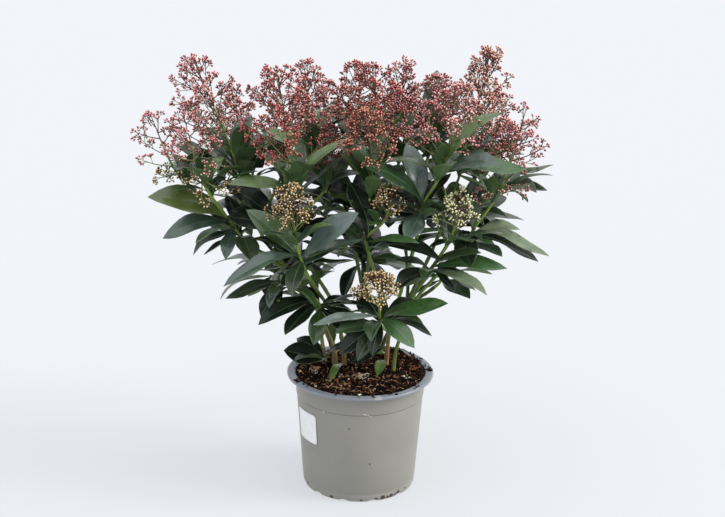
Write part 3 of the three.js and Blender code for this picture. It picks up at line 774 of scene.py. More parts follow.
def grow_sprigs(mass):
    """The source's coarse sprigs, kept as room for the panicles."""
    least, gain, most = PANICLE.fill
    top = PANICLE.top_reach
    jitter = SPRIG.jitter
    stream = mass.stream
    for spot in mass.panicles:
        width = spot.spec.spread
        count = max(PANICLE.fewest,
                    round(PANICLE.sprigs * min(most, least + gain * width)))
        spot.turn = 360 * stream.draw()
        for j in range(count):
            share = j / count
            rise = SPRIG.rise + SPRIG.rise_gain * share + stream.spread(jitter.rise)
            reach = (width * (top + (1 - top) * (1 - share) ** PANICLE.taper)
                     * (1 + stream.spread(jitter.reach)))
            pose = Values(
                turn=spot.turn + j * GOLDEN_ANGLE / 2,
                rise=rise,
                skew=stream.spread(jitter.skew),
                length=reach / math.cos(math.radians(rise)) ** PANICLE.lengthen,
            )
            root = spot.chain.point(spot.at + PANICLE.first + PANICLE.span * share)
            try_places(mass, sprig_body, bare_sprig, root, pose)


def grow_plant():
    lip_foot = POT.height - POT.plain_lip
    wall = [(POT.base_radius, 0), (POT.top_radius, lip_foot), (POT.rim_radius, lip_foot),
            (POT.rim_radius, POT.height), (0, SOIL_TOP)]
    points, quads = lathe(wall, 32)
    limbs.append(Body(points, quads.tolist()))
    grow_stems()
    for name, spec in MASSES.items():
        gathered = {key: [] for key in ("placed", "own", "chains", "whorls", "panicles", "blades")}
        mass = changed(spec, stream=Stream(len(masses) + 1), **gathered)
        grow_bough(mass)
        masses[name] = mass
    for mass in masses.values():
        grow_twigs(mass)
    for name, mass in masses.items():
        grow_placed_leaves(name, mass)
    for grow in (grow_sprigs, grow_other_leaves):
        for mass in masses.values():
            grow(mass)
    grow_stem_leaves()


# ------------ finer leaves

BLADE = Values(
    rows=11,                    # stations from foot to tip
    crowding=0.9,               # of the rows; under 1, they crowd at the tip
    last_row=0.993,
    across=(-1, -0.96, -0.5, 0, 0.5, 0.96, 1),
    outline=(1.32, 0.8, 0.49),  # its widest part further out and its tip blunter
    slimmer=(0.88, 0.09),       # its width over the source's, with its jitter
    skin=0.55,                  # thickness
    foot=0.14,                  # share of the length that is thick like a stem
    foot_skin=0.55,             # half of what the foot is thicker by
    petiole=1.0,                # half width of the foot
    rib=0.5,                    # half width of the midrib at the foot
    rib_taper=0.7,
    rib_share=0.2,              # of the blade's half width, at most
    dent=(0.35, 1.1),           # depth and width of the groove over the midrib
    fold=0.14,                  # more than the plain body's
    cup=(1.25, 0.5),            # how steep the fold is at the rib, and how it eases to the margin
    ripple=(0.022, 9),          # height over length, and how many radians from foot to tip
    twist_from=0.2,             # share of the length
    jitter=Values(droop=0.55, snake=0.035, fold=0.2, twist=0.28, bend=0.05),
)


def blade_form(leaf, stream):
    """A leaf's rows, as shares of its length, with their bend aside and their sag.

    Then, for each point of a row, how far it lies aside and up, and half the thickness there.
    """
    jitter = BLADE.jitter
    length = leaf.length
    s = np.linspace(0, 1, BLADE.rows) ** BLADE.crowding
    s[-1] = BLADE.last_row
    swell = np.sin(np.pi * s)[:, None]
    half = np.maximum(length * LEAF.aspect * leaf.width * half_width(s, *BLADE.outline),
                      BLADE.petiole * (1 - s) ** 0.5)
    ribbed = np.minimum(BLADE.rib * (1 - BLADE.rib_taper * s) / half, BLADE.rib_share)
    middle = len(BLADE.across) // 2
    a = np.insert(np.tile(np.array(BLADE.across, float), (len(s), 1)), middle, -ribbed, axis=1)
    a[:, middle + 1] = ribbed
    x = a * half[:, None]
    height, quickness = BLADE.ripple
    ripple = height * length * a**2 * np.sin(quickness * s + stream.draw() * 6.3)[:, None] * swell
    droop = LEAF.droop * (1 + stream.spread(jitter.droop))
    sag = 2 * math.tan(math.radians(droop) / 2) * length * s * (1 - s)
    sag = sag + stream.spread(jitter.snake) * length * np.sin(2 * np.pi * s)
    fold = LEAF.fold + BLADE.fold + stream.spread(jitter.fold)
    steep, ease = BLADE.cup
    cup = fold * np.abs(x) * (steep - ease * np.abs(a))
    depth, width = BLADE.dent
    rise = sag[:, None] + cup + ripple - depth * np.exp(-(x / width) ** 2) * swell
    stem_like = smooth(1 - s / BLADE.foot)[:, None]
    thick = (BLADE.skin / 2 + stem_like * BLADE.foot_skin) * np.sqrt(np.clip(1 - a**2, 0, 1))
    twist = stream.spread(jitter.twist) * (s - BLADE.twist_from)[:, None]
    x, rise = x * np.cos(twist) - rise * np.sin(twist) * 0.4, rise + x * np.sin(twist)
    bend = stream.spread(jitter.bend) * length * s**2
    return s, bend, sag, x, rise, thick


def blade_mesh(shape, leaf, stream):
    """A leaf as one closed skin: each row is a ring over the top and back under."""
    s, bend, sag, x, rise, thick = blade_form(leaf, stream)
    length = leaf.length
    along, side, face = leaf_axes(leaf.turn, leaf.rise, leaf.roll)
    reach = s * (length + ROOT) - ROOT
    spine = leaf.root + along * reach[:, None] + side * bend[:, None]
    sheet = spine[:, None] + side * x[..., None]
    top, back = (sheet + face * (rise + lift)[..., None] for lift in (thick, -thick))
    ring = np.concatenate([top, back[:, -2:0:-1]], 1)
    tip = leaf.root + along * length + side * bend[-1] + face * sag[-1]
    points = np.vstack([ring.reshape(-1, 3), tip, ring[0].mean(0)])
    rows, size = ring.shape[:2]
    k = np.arange(size)
    after = (k + 1) % size
    last = (rows - 1) * size
    ends = np.vstack([np.stack([last + k, np.full(size, rows * size), last + after], 1),
                      np.stack([k, after, np.full(size, rows * size + 1)], 1)])
    strips = top.shape[1] - 1   # on the upper side
    middle = strips // 2
    under, rib, margin = len(LEAF_TONES) + np.arange(len(LEAF_PARTS))
    finish = np.full(size, under)
    finish[:strips] = list(LEAF_TONES).index(leaf.tone)
    # The margin strips take a lighter green: a painted highlight along the edge.
    finish[[0, strips - 1]] = margin
    finish[[middle, 2 * strips - 1 - middle]] = rib
    shape.add(points, (grid_quads(rows, size, True)[:, [0, 3, 2, 1]], np.tile(finish, rows - 1)),
              (ends, np.tile(finish, 2)))


FILL = Values(                  # more and smaller leaves, by the same rule as SEEDED
    turn=70,
    rise=8,
    length=0.74,
    jitter=Values(turn=20, rise=32, length=0.22, roll=18),
    share=1.6,                  # how many for each that the source has
    start=0.4,                  # how far down the stem they begin, and the next ones follow
    pitch=0.75,
)
THIN = {"front_right": 0.6, "low_right": 0.4, "right": 0.9, "right_inner": 1.0}   # for share


def fill_whorls(name, mass, stream):
    """More leaves than the source's, where a whorl still has room."""
    for spot in mass.whorls:
        leaves = spot.leaves
        for index in range(round(leaves.count * THIN.get(name, FILL.share))):
            pose = seeded_pose(leaves, index, stream, FILL)
            way = (leaves.count * FILL.start + index * FILL.pitch) * LEAF.spacing
            keep_leaf(mass, spot.chain.before(spot.at, way), pose, spot.age)


TONE_SHARES = {                 # of the leaves that no hand has toned
    # Among them the bluish tone is painted sheen.
    "young": (("light", 0.1), ("mid", 0.3), ("blue", 0.16), ("green", 0.24), ("dark", 0.2)),
    # The darkest tone of the old leaves is partly painted shade.
    "old": (("black", 0.34), ("dark", 0.3), ("green", 0.2), ("blue", 0.08), ("mid", 0.08)),
}


def choose_tone(age, stream):
    pick = stream.draw()
    for tone, share in TONE_SHARES[age]:
        pick -= share
        if pick < 0:
            return tone
    return "dark"


# ------------ finer panicles

BUD = Values(
    length=(3.5, 4.9),
    width=0.28,                 # radius over length
    sides=6,
    profile=((0.86, 0.24), (0.88, 0.7)),  # radius, height
    sunk=0.2,                   # into its pedicel
    pedicel=(1.8, 3.6),
    pedicel_radius=0.26,
    pedicel_taper=0.8,
    along=0.72,                 # of a side bud's way, along its twiglet
    out=(0.62, 0.1),            # and away from it, with its jitter
)
BRANCH = Values(
    radius=(0.85, 0.42),
    rings=8,
    sides=5,
    sag=0.1,                    # how low its middle hangs, over its length
    end=0.94,                   # no twiglet stands further along
)
TWIGLET = Values(
    radius=(0.42, 0.3),
    sides=4,
    pitch=6.2,
    least=3.0,                  # length, and its gain with the branch's
    gain=0.21,
    fade=1.3,                   # share of the branch where that gain would end
    stray=0.6,                  # along the branch, over the pitch
    jitter=0.35,
    swing=20,                   # degrees
    way=(0.75, 0.8, 0.25),      # along its branch, out and up
    crowded=0.4,                # share with three side buds instead of two
    forked=6.0,                 # a longer one has a second cyme half way along
    fork=2.4,
    fork_way=(0.6, 0.2),        # along it and up, with 1 to the side
)
FLOWER = Values(
    branches=15,                # in a panicle of usual height
    fewest=7,
    usual_height=125.0,
    height_share=(0.42, 0.58, 1.1),  # of the branches: least, gain, most
    sparse=(0.7, 0.6),          # share of the branches where few are wanted, and its gain
    first=0.1,                  # share of the axis of the lowest branch
    last=0.9,
    axis_end=0.93,              # where the bare axis ends
    wider=3.0,                  # than the source's
    lower=3.0,                  # how far the branches' ends stay under the outline
    red_from=0.4,               # share of the height where the branches turn from green
    climb=0.22,                 # of a branch, over the height that is left above its root
    least_climb=0.05,           # over the whole height
    top=0.98,                   # no branch ends higher
    reach=0.96,                 # of the outline's half width
    jitter=Values(climb=0.09, reach=0.12, turn=16),
    bare=(0.58, 0.2),           # share of the lowest branch without twiglets, and its loss
)
INNER = Values(                 # the branches inside a full panicle
    room=12,                    # its least half width there
    turn=60,                    # degrees from the outer branch to the first, then between them
    apart=110,
    jitter=24,
    higher=0.1,                 # where they end above the outer one, over the height
    reach=0.72,                 # of the outline's half width
    bare=0.55,
)
SKIRT = Values(                 # the loose branches round a panicle's foot
    branches=8,
    first=0.01,                 # where they leave it, in points of the chain
    apart=0.015,
    turn=60,
    rise=(-0.15, 0.35),         # over what they reach out, with its jitter
    reach=(0.78, 0.3),          # of the panicle's half width, with its jitter
    bare=0.6,
)
DOME = Values(foot=0.7, shoulder=0.3, above=0.73, curve=2.3, blunt=0.62)


def panicle_half(share):
    """The half width of the dome that a panicle fills, at a share of its height."""
    above = max(0.0, share - DOME.shoulder) / DOME.above
    return min(1.0, DOME.foot + share) * max(0.0, 1 - above ** DOME.curve) ** DOME.blunt


def bow(start, middle, end, t):
    return start * (1 - t) ** 2 + 2 * middle * t * (1 - t) + end * t**2


class Blossom:
    """The panicles of one stem: branches among its twigs, then pedicels and buds."""

    def __init__(self, twigs, places, stream):
        self.twigs = twigs
        self.places = places    # of each tone's finishes, as bud_materials has them
        self.stream = stream
        self.pedicels = []
        self.buds = []

    def tone(self, name):
        """A function that draws the finishes of a bud's calyx, body and tip."""
        first, bodies, tips, end = self.places[name]

        def pick():
            return (first, bodies + int(self.stream.draw() * (tips - bodies)),
                    tips + int(self.stream.draw() * (end - tips)))

        return pick

    def bud(self, start, way, tone):
        """A pedicel from start, and a bud that stands on it."""
        foot = start + way * self.stream.between(*BUD.pedicel)
        self.pedicels.append((start, foot))
        size = self.stream.between(*BUD.length)
        self.buds.append((foot - way * BUD.sunk, way, size, tone))

    def cyme(self, start, way, tone, side_buds=2):
        """A bud at the tip with others round it."""
        draw, spread = self.stream.draw, self.stream.spread
        self.bud(start, way, tone())
        aside = unit(np.cross(way, unit(vec(spread(1), spread(1), 0.3))))
        turn = draw() * 2 * math.pi
        far, jitter = BUD.out
        for k in range(side_buds):
            out = around(way, aside, turn + k * 2 * math.pi / side_buds)
            self.bud(start, unit(way * BUD.along + out * (far + spread(jitter))), tone())

    def twiglet(self, place, out, way, reach, tone, finish):
        """A side branch with a cyme at its tip; a long one has another half way along."""
        draw = self.stream.draw
        wide, narrow = TWIGLET.radius
        tip = place + way * reach
        self.twigs.solid(rods(place[None], tip[None], wide, narrow, TWIGLET.sides), finish)
        self.cyme(tip, way, tone, 2 + (draw() < TWIGLET.crowded))
        if reach > TWIGLET.forked:
            hand = 1 if draw() < 0.5 else -1
            along, up = TWIGLET.fork_way
            sideways = unit(way * along + np.cross(way, out) * hand + UP * up)
            fork = place + way * reach * 0.5
            knee = fork + sideways * TWIGLET.fork
            self.twigs.solid(rods(fork[None], knee[None], narrow, narrow), finish)
            self.cyme(knee, sideways, tone)

    def branch(self, start, end, tone, finish, bare):
        """It leaves low and bends up, its first share bare; twiglets stand along the rest."""
        draw, spread = self.stream.draw, self.stream.spread
        length = np.linalg.norm(end - start)
        middle = (start + end) / 2 + vec(0, 0, -BRANCH.sag * length)
        path = bow(start, middle, end, np.linspace(0, 1, BRANCH.rings)[:, None])
        radii = np.linspace(*BRANCH.radius, len(path))
        self.twigs.solid(tube(path, radii, BRANCH.sides), finish)
        along, away, up = TWIGLET.way
        count = max(2, round(length * (1 - bare) / TWIGLET.pitch))
        turn = draw() * 360
        for k in range(count):
            share = bare + (BRANCH.end - bare) * (k + TWIGLET.stray * draw()) / count
            tangent = unit((middle - start) * (1 - share) + (end - middle) * share)
            angle = math.radians(turn + k * GOLDEN_ANGLE + spread(TWIGLET.swing))
            out = around(tangent, unit(np.cross(tangent, ASLANT)), angle)
            way = unit(tangent * along + out * away + UP * up)
            reach = ((TWIGLET.least + length * TWIGLET.gain * (TWIGLET.fade - share))
                     * (1 + spread(TWIGLET.jitter)))
            self.twiglet(bow(start, middle, end, share), out, way, reach, tone, finish)
        self.cyme(end, unit(end - middle), tone, 3)

    def skirt(self, spot, width):
        """Loose branches round a panicle's foot."""
        spread = self.stream.spread
        tone = self.tone(spot.spec.skirt)
        (rise, sway), (reach, jitter) = SKIRT.rise, SKIRT.reach
        for j in range(SKIRT.branches):
            start = spot.chain.point(spot.at + SKIRT.first + SKIRT.apart * j)
            turn = math.radians(spot.turn + SKIRT.turn + j * GOLDEN_ANGLE)
            out = level(turn, rise + spread(sway))
            end = start + out * width * (reach + spread(jitter))
            self.branch(start, end, tone, TWIG_GREEN, SKIRT.bare)

    def panicle(self, spot):
        """Branches up the axis in a spiral, each out to the blunt cone that the panicle fills."""
        spread = self.stream.spread
        spec, chain, at = spot.spec, spot.chain, spot.at
        width = spec.spread + FLOWER.wider
        foot, tip = chain.point(at), chain.point(at + 1)
        height = np.linalg.norm(tip - foot)
        axis = (tip - foot) / height
        least, gain, most = FLOWER.height_share
        usual = min(most, least + gain * height / FLOWER.usual_height)
        least, gain = FLOWER.sparse
        sparse = min(1, least + gain * spec.full)
        count = max(FLOWER.fewest, round(FLOWER.branches * usual * sparse))
        tone = self.tone(spec.tone)
        bare, loss = FLOWER.bare
        for j in range(count):
            share = FLOWER.first + (FLOWER.last - FLOWER.first) * j / (count - 1)
            finish = TWIG_RED if share > FLOWER.red_from else TWIG_GREEN
            root = chain.point(at + share * FLOWER.axis_end)
            climb = (FLOWER.climb + spread(FLOWER.jitter.climb)) * (1 - share) + FLOWER.least_climb
            end_share = min(FLOWER.top, share + climb)
            half = width * panicle_half(end_share) * (FLOWER.reach + spread(FLOWER.jitter.reach))
            turn = math.radians(spot.turn + j * GOLDEN_ANGLE + spread(FLOWER.jitter.turn))
            end = foot + axis * (height * end_share - FLOWER.lower) + level(turn) * half
            self.branch(root, end, tone, finish, bare - loss * share)
            for k in range(int(spec.full + self.stream.draw()) if half > INNER.room else 0):
                swing = INNER.turn + INNER.apart * k + spread(INNER.jitter)
                out = level(turn + math.radians(swing))
                high = min(FLOWER.top, end_share + INNER.higher)
                inner = (foot + axis * (height * high - FLOWER.lower)
                         + out * width * panicle_half(high) * INNER.reach)
                self.branch(root, inner, tone, finish, INNER.bare)
        if spec.skirt:
            self.skirt(spot, width)
        self.cyme(chain.point(at + FLOWER.axis_end), axis, tone, 3)

    def bud_meshes(self):
        """All the buds at once: foot in the calyx's colour, then the body, then the tip."""
        sides = BUD.sides
        turn = circle(sides)
        rings = [np.stack([np.cos(turn) * r, np.sin(turn) * r, np.full(sides, z)], 1)
                 for r, z in BUD.profile]
        points = np.vstack([*rings, (0, 0, 0), (0, 0, 1)])[None]
        quads, ends = ring_faces(len(rings), sides)
        where, way, size, tones = (np.array(column) for column in zip(*self.buds))
        normal, binormal = square_to(way)
        tall = size[:, None, None]
        wide = (size * BUD.width)[:, None, None]
        placed = (where[:, None] + normal[:, None] * (points[..., :1] * wide)
                  + binormal[:, None] * (points[..., 1:2] * wide)
                  + way[:, None] * (points[..., 2:] * tall))
        base = (np.arange(len(size)) * points.shape[1])[:, None, None]
        # the tip fans get the paler tip colours, partly a painted highlight
        parts = [((faces[None] + base).reshape(-1, faces.shape[1]),
                  np.repeat(tones[:, part], len(faces)))
                 for part, faces in enumerate((ends[:sides], quads, ends[sides:]))]
        shape = Shape()
        shape.add(placed.reshape(-1, 3), *parts)
        return shape


# ------------ limbs and twigs

BARK = Values(
    ridge=0.11,                 # height over radius
    ridges=1.7,                 # how close they are, round the limb and along it
    ridges_along=0.35,
    scars=5,                    # rings where leaves stood, their height and width
    scar=0.35,
    scar_width=1.6,
    scar_jitter=0.3,
    flare=1.4,                  # at the soil
    flare_length=5.0,
)


def limb_mesh(shape, curve, radii, stream, foot_flare=0.0):
    """A limb with ridged bark, rings of old leaf scars, and a flare where it leaves the soil."""
    length = np.linalg.norm(curve.points[3] - curve.points[0])
    count = max(LIMB.fewest_rings, round(length / LIMB.ring))
    t = np.linspace(0, 1, count)[:, None]
    radius = radii[0] + (radii[1] - radii[0]) * t
    seed = stream.draw() * 50
    around_limb = [BARK.ridges * level(a)[:2] for a in circle(LIMB.sides)]
    ridges = np.array([[noise.noise(Vector((x, y, z * BARK.ridges_along + seed)))
                        for x, y in around_limb] for z in range(count)])
    middles = [(k + 0.5 + BARK.scar_jitter * stream.draw()) / BARK.scars
               for k in range(BARK.scars)]
    scars = sum(np.exp(-((t - middle) * length / BARK.scar_width) ** 2) for middle in middles)
    radius = radius * (1 + BARK.ridge * ridges) + BARK.scar * scars
    radius = radius + foot_flare * np.exp(-t * length / BARK.flare_length)
    shape.solid(tube(curve.path(count), radius, LIMB.sides), 0)


WOODY_BELOW = 200.0             # height above the floor
JOINT = Values(height=0.5, width=0.05, below=0.02)  # the last two in points of the chain
WOBBLE = Values(pace=0.4, share=0.06)       # of a twig's radius
AXIS = Values(                  # of a panicle
    thin=0.6,                   # by what share it thins, and over what share of its length
    over=0.9,
    green=0.8,                  # where its colours begin, back from its tip
    red=0.45,
)
TWIG_TONES = {"shoot": "#749036", "joint": "#6e6136", "branch_red": "#573b2b",
              "branch_green": "#6f7a45"}
TWIG_JOINT, TWIG_RED, TWIG_GREEN = 1, 2, 3  # places of all but the first among them


def twig_mesh(shape, chain, node_at, flowering, stream):
    """A shoot with its reddish joints; within its panicle it thins, and is browner.

    One near the soil is woody all along.
    """
    last = len(chain.points) - 1
    end = last - 1 + FLOWER.axis_end if flowering else last
    count = TWIG.rings * last
    share = np.linspace(0, 1, count)
    at = share * end
    path = chain.path(0, end, count)
    radius = TWIG.foot + (TWIG.tip - TWIG.foot) * share
    joints = [joint for joint in (node_at, node_at + 1) if joint < last]
    for joint in joints:
        radius = radius + JOINT.height * np.exp(-((at - joint + JOINT.below)
                                                     / JOINT.width) ** 2)
    if flowering:
        radius = radius * (1 - AXIS.thin * smooth((at - last + 1) / AXIS.over))
    seed = stream.draw() * 90
    wobble = np.array([noise.noise(Vector((k * WOBBLE.pace, seed, 0))) for k in range(count)])
    radius = radius * (1 + WOBBLE.share * wobble)
    points, quads, ends = tube(path, radius, TWIG.sides)
    ring_at = np.repeat(at[:-1], TWIG.sides)
    finish = np.full(len(quads), TWIG_JOINT if path[0, 2] < WOODY_BELOW else 0)
    for joint in joints:
        finish[np.abs(ring_at - joint + JOINT.below) < JOINT.width] = TWIG_JOINT
    if flowering:
        finish[ring_at > last - AXIS.green] = TWIG_GREEN
        finish[ring_at > last - AXIS.red] = TWIG_RED
    shape.add(points, (quads, finish), (ends, finish[[0, -1]].repeat(len(ends) // 2)))


# ------------ materials


def grey(share):
    return (share,) * 3


def scaled(colour, factor):
    return tuple(min(1.0, part * factor) for part in colour)


class Tree:
    """The node tree of a new material or world, whose last node takes what finish gives it."""

    def __init__(self, owner, last="Principled BSDF"):
        owner.use_nodes = True
        self.owner = owner
        self.nodes = owner.node_tree.nodes
        self.links = owner.node_tree.links
        self.last = self.nodes[last]

    def feed(self, node, inputs):
        """Gives each of a node's inputs a value, or links another node's output to it."""
        for key, value in inputs.items():
            if isinstance(value, bpy.types.NodeSocket):
                self.links.new(value, node.inputs[key])
            else:
                node.inputs[key].default_value = value

    def node(self, kind, inputs, output, **settings):
        """Adds a node, and returns one of its outputs."""
        node = self.nodes.new("ShaderNode" + kind)
        for key, value in settings.items():
            setattr(node, key, value)
        self.feed(node, inputs)
        return node.outputs[output]

    def place(self):
        return self.node("TexCoord", {}, "Object")

    def noise(self, scale, detail=3.0, stretch=None):
        """A noise over the object, in metres, drawn out along its axes by a stretch."""
        place = self.place()
        if stretch:
            place = self.node("Mapping", {"Vector": place, "Scale": stretch}, "Vector")
        return self.node("TexNoise", {"Vector": place, "Scale": scale, "Detail": detail}, "Fac")

    def ramp(self, source, *stops):
        """A source's share turned into colours by stops of (share, colour)."""
        output = self.node("ValToRGB", {"Fac": source}, "Color")
        elements = output.node.color_ramp.elements
        while len(elements) < len(stops):
            elements.new(0.5)
        for element, (share, colour) in zip(elements, stops):
            element.position = share
            element.color = (*colour, 1)
        return output

    def mottle(self, code, source, spread):
        """A colour made darker and lighter by a noise."""
        colour = linear(code)
        return self.ramp(source, (0.3, scaled(colour, 1 - spread)),
                         (0.7, scaled(colour, 1 + spread)))

    def mix(self, factor, a, b, **settings):
        return self.node("Mix", {"Factor": factor, "A": a, "B": b}, "Result",
                         data_type="RGBA", **settings)

    def bump(self, source, strength, distance):
        return self.node("Bump", {"Height": source, "Strength": strength, "Distance": distance},
                         "Normal")

    def finish(self, inputs):
        self.feed(self.last, inputs)
        return self.owner


def new_material(name):
    return Tree(bpy.data.materials.new(name))


def leaf_finish(name, code, rough=0.33):
    """Leathery and half glossy, a little mottled, with shallow quilting between the veins."""
    tree = new_material(f"leaf_{name}")
    specular, coat = DULL.get(name, SHINE)
    low, high = grey(rough - 0.06), grey(rough + 0.1)
    return tree.finish({
        "Base Color": tree.mottle(code, tree.noise(70), 0.25),
        "Roughness": tree.ramp(tree.noise(160), (0.3, low), (0.7, high)),
        "Normal": tree.bump(tree.noise(330, 2), 0.22, 0.0012),
        "Specular IOR Level": specular,
        "Coat Weight": coat,
        "Coat Roughness": 0.16,
    })


def petal_finish(name, code):
    """Waxy bud scales."""
    tree = new_material(name)
    return tree.finish({
        "Base Color": tree.mottle(code, tree.noise(400, 2), 0.2),
        "Roughness": 0.42,
    })


def bud_materials():
    """One finish for each colour of the buds, and where each tone's colours stand among them."""
    materials, places = [], {}
    for name, (calyx, bodies, tips) in BUD_TONES.items():
        first = len(materials)
        codes = (calyx, *bodies, *tips)
        materials += [petal_finish(f"bud_{name}_{k}", code) for k, code in enumerate(codes)]
        places[name] = (first, first + 1, first + 1 + len(bodies), first + len(codes))
    return materials, places


def twig_finish(name, code, rough=0.45, spread=0.25, specular=0.5):
    """Streaked along Z."""
    tree = new_material(name)
    streak = tree.noise(90, stretch=(1, 1, 0.25))
    return tree.finish({
        "Base Color": tree.mottle(code, streak, spread),
        "Normal": tree.bump(streak, 0.3, 0.0005),
        "Roughness": rough,
        "Specular IOR Level": specular,
    })


BARKS = {                       # the wood's colours from the soil up
    "olive": ("#9c8354", "#8f8150", "#767a3f", "#6a8236"),
    "tan": ("#b98a5a", "#a8814c", "#6f8436", "#6d9036"),
    "green": ("#8c8a4c", "#788a44", "#6a8636", "#6a8c36"),
    "dark": ("#5f5236", "#585233", "#4d5a2c", "#4c6428"),
}
BARK_STOPS = (0.0, 0.2, 0.45, 1.0)          # where each of them is reached
BARK_HEIGHTS = (145, 290)                   # between these
STEM_BARKS = {"left": "olive", "left_middle": "olive", "right_middle": "tan", "right": "green"}


def bark_finish(name):
    """Tan at the soil, then olive, then green, by height, with darker streaks."""
    tree = new_material(f"bark_{name}")
    low, high = (level * MM for level in BARK_HEIGHTS)
    z = tree.node("SeparateXYZ", {"Vector": tree.place()}, "Z")
    height = tree.node("MapRange", {"Value": z, "From Min": low, "From Max": high}, "Result")
    tint = tree.ramp(height, *zip(BARK_STOPS, map(linear, BARKS[name])))
    streak = tree.noise(260, 4, stretch=(1, 1, 0.12))
    dark = tree.ramp(streak, (0.35, grey(0.55)), (0.62, grey(1.1)))
    return tree.finish({
        "Base Color": tree.mix(0.7, tint, dark, blend_type="MULTIPLY"),
        "Normal": tree.bump(streak, 0.6, 0.0006),
        "Roughness": 0.55,
    })


# ------------ dressing


def dress(piece, nodes):
    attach(piece, "root")
    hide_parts(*nodes)


def dress_stem(name, stem, stream, finishes):
    """The wood, twigs, buds and leaves of one stem and its masses."""
    own = [key for key, mass in masses.items() if mass.stem == name]
    slimmer, jitter = BLADE.slimmer
    wood, twigs, leaves = Shape(), Shape(), Shape()
    blossom = Blossom(twigs, finishes.bud_places, stream)
    limb_mesh(wood, stem.curve, stem.radii, stream, foot_flare=BARK.flare)
    for bough in stem.boughs:
        limb_mesh(wood, bough.curve, bough.radii, stream)
    for key in own:
        mass = masses[key]
        fill_whorls(key, mass, stream)
        for chain, node_at, flowering in mass.chains:
            twig_mesh(twigs, chain, node_at, flowering, stream)
        for leaf in mass.blades:
            leaf.tone = leaf.tone or choose_tone(leaf.age, stream)
            leaf.width *= slimmer + stream.spread(jitter)
            blade_mesh(leaves, leaf, stream)
        for spot in mass.panicles:
            blossom.panicle(spot)
    limb_nodes = [f"{name}_stem"] + [f"{key}_bough" for key in own]
    mass_nodes = [f"{key}_mass" for key in own]
    bark = finishes.barks[STEM_BARKS.get(name, "dark")]
    dress(wood.piece(f"{name}_wood", [bark]), limb_nodes)
    if blossom.buds:
        starts, ends = (np.array(column) for column in zip(*blossom.pedicels))
        radius = BUD.pedicel_radius
        twigs.solid(rods(starts, ends, radius, radius * BUD.pedicel_taper), TWIG_RED)
        dress(blossom.bud_meshes().piece(f"{name}_buds", finishes.buds), mass_nodes)
    dress(twigs.piece(f"{name}_twigs", finishes.twigs), mass_nodes)
    dress(leaves.piece(f"{name}_leaves", finishes.leaves), mass_nodes)


def dress_plant():
    leaves = [leaf_finish(name, code) for name, code in LEAF_TONES.items()]
    leaves += [leaf_finish(name, code, rough) for name, (code, rough) in LEAF_PARTS.items()]
    twigs = [twig_finish(name, code) for name, code in TWIG_TONES.items()]
    buds, places = bud_materials()
    barks = {name: bark_finish(name) for name in BARKS}
    finishes = Values(leaves=leaves, twigs=twigs, buds=buds, bud_places=places, barks=barks)
    for number, (name, stem) in enumerate(stems.items()):
        dress_stem(name, stem, Stream(101 + number), finishes)


# ------------ pot


def wall_radius(z):
    return POT.base_radius + (POT.top_radius - POT.base_radius) * z / POT.height


# Marks on the pot's wall: angle in degrees, height, radius

PALE_SPECKS = (
    (-85.5, 126.0, 0.9), (-84.4, 125.2, 0.7), (-82.6, 124.0, 1.1), (-81.8, 123.2, 0.6),
    (-80.2, 122.4, 0.8), (-123.5, 123.0, 0.9),
)
DARK_SPECKS = (
    (-99.0, 105.0, 1.1), (-79.5, 55.0, 1.3), (-19.5, 119.0, 1.0), (-118.0, 2.5, 2.4),
    (-87.0, 2.0, 1.8), (-72.0, 2.2, 2.6), (-64.5, 3.2, 3.4), (-59.0, 2.4, 2.2),
    (-55.0, 3.5, 2.6), (-50.0, 2.6, 2.0), (-46.0, 4.5, 3.0), (-35.0, 5.0, 1.6),
    (-153.0, 6.0, 2.0),
)
SPECK_TINTS = (("#cfccc2", PALE_SPECKS), ("#3a2c24", DARK_SPECKS))
NICK = Values(turn=-79.5, half=1.0, depth=1.1, band=3.0)
PAINTED_HIGHLIGHT_SPAN = (-78.6, -72.5)           # degrees: a stretch of the lip given a lighter colour, a painted highlight beside the nick
WALL, LIP, PAINTED_LIP_HIGHLIGHT = 0, 1, 2     # the pot's finishes; the lip's bluish grey is a painted reflection of the sky


def speckled(tree, colour, code, specks):
    """A colour with another one mixed in within ragged spots."""
    place = tree.place()
    ragged = tree.noise(900)
    for turn, z, size in specks:
        centre = level(math.radians(turn)) * (wall_radius(z) + 0.3) + UP * z
        apart = tree.node("VectorMath", {0: place, 1: tuple(centre * MM)}, "Value",
                          operation="DISTANCE")
        reach = tree.node("Math", {0: ragged, 1: 2.0 * size * MM}, "Value", operation="MULTIPLY")
        inside = tree.node("Math", {0: apart, 1: reach}, "Value", operation="LESS_THAN")
        colour = tree.mix(inside, colour, (*linear(code), 1))
    return colour


def pot_finish(name, code, rough, marked=False):
    """Semi-matt plastic, faintly clouded, with its scuffs and specks of peat."""
    tree = new_material(name)
    colour = tree.mottle(code, tree.noise(18), 0.06)
    for tint, specks in SPECK_TINTS if marked else ():
        colour = speckled(tree, colour, tint, specks)
    return tree.finish({"Base Color": colour, "Roughness": rough,
                        "Normal": tree.bump(tree.noise(900, 2), 0.12, 0.0003)})


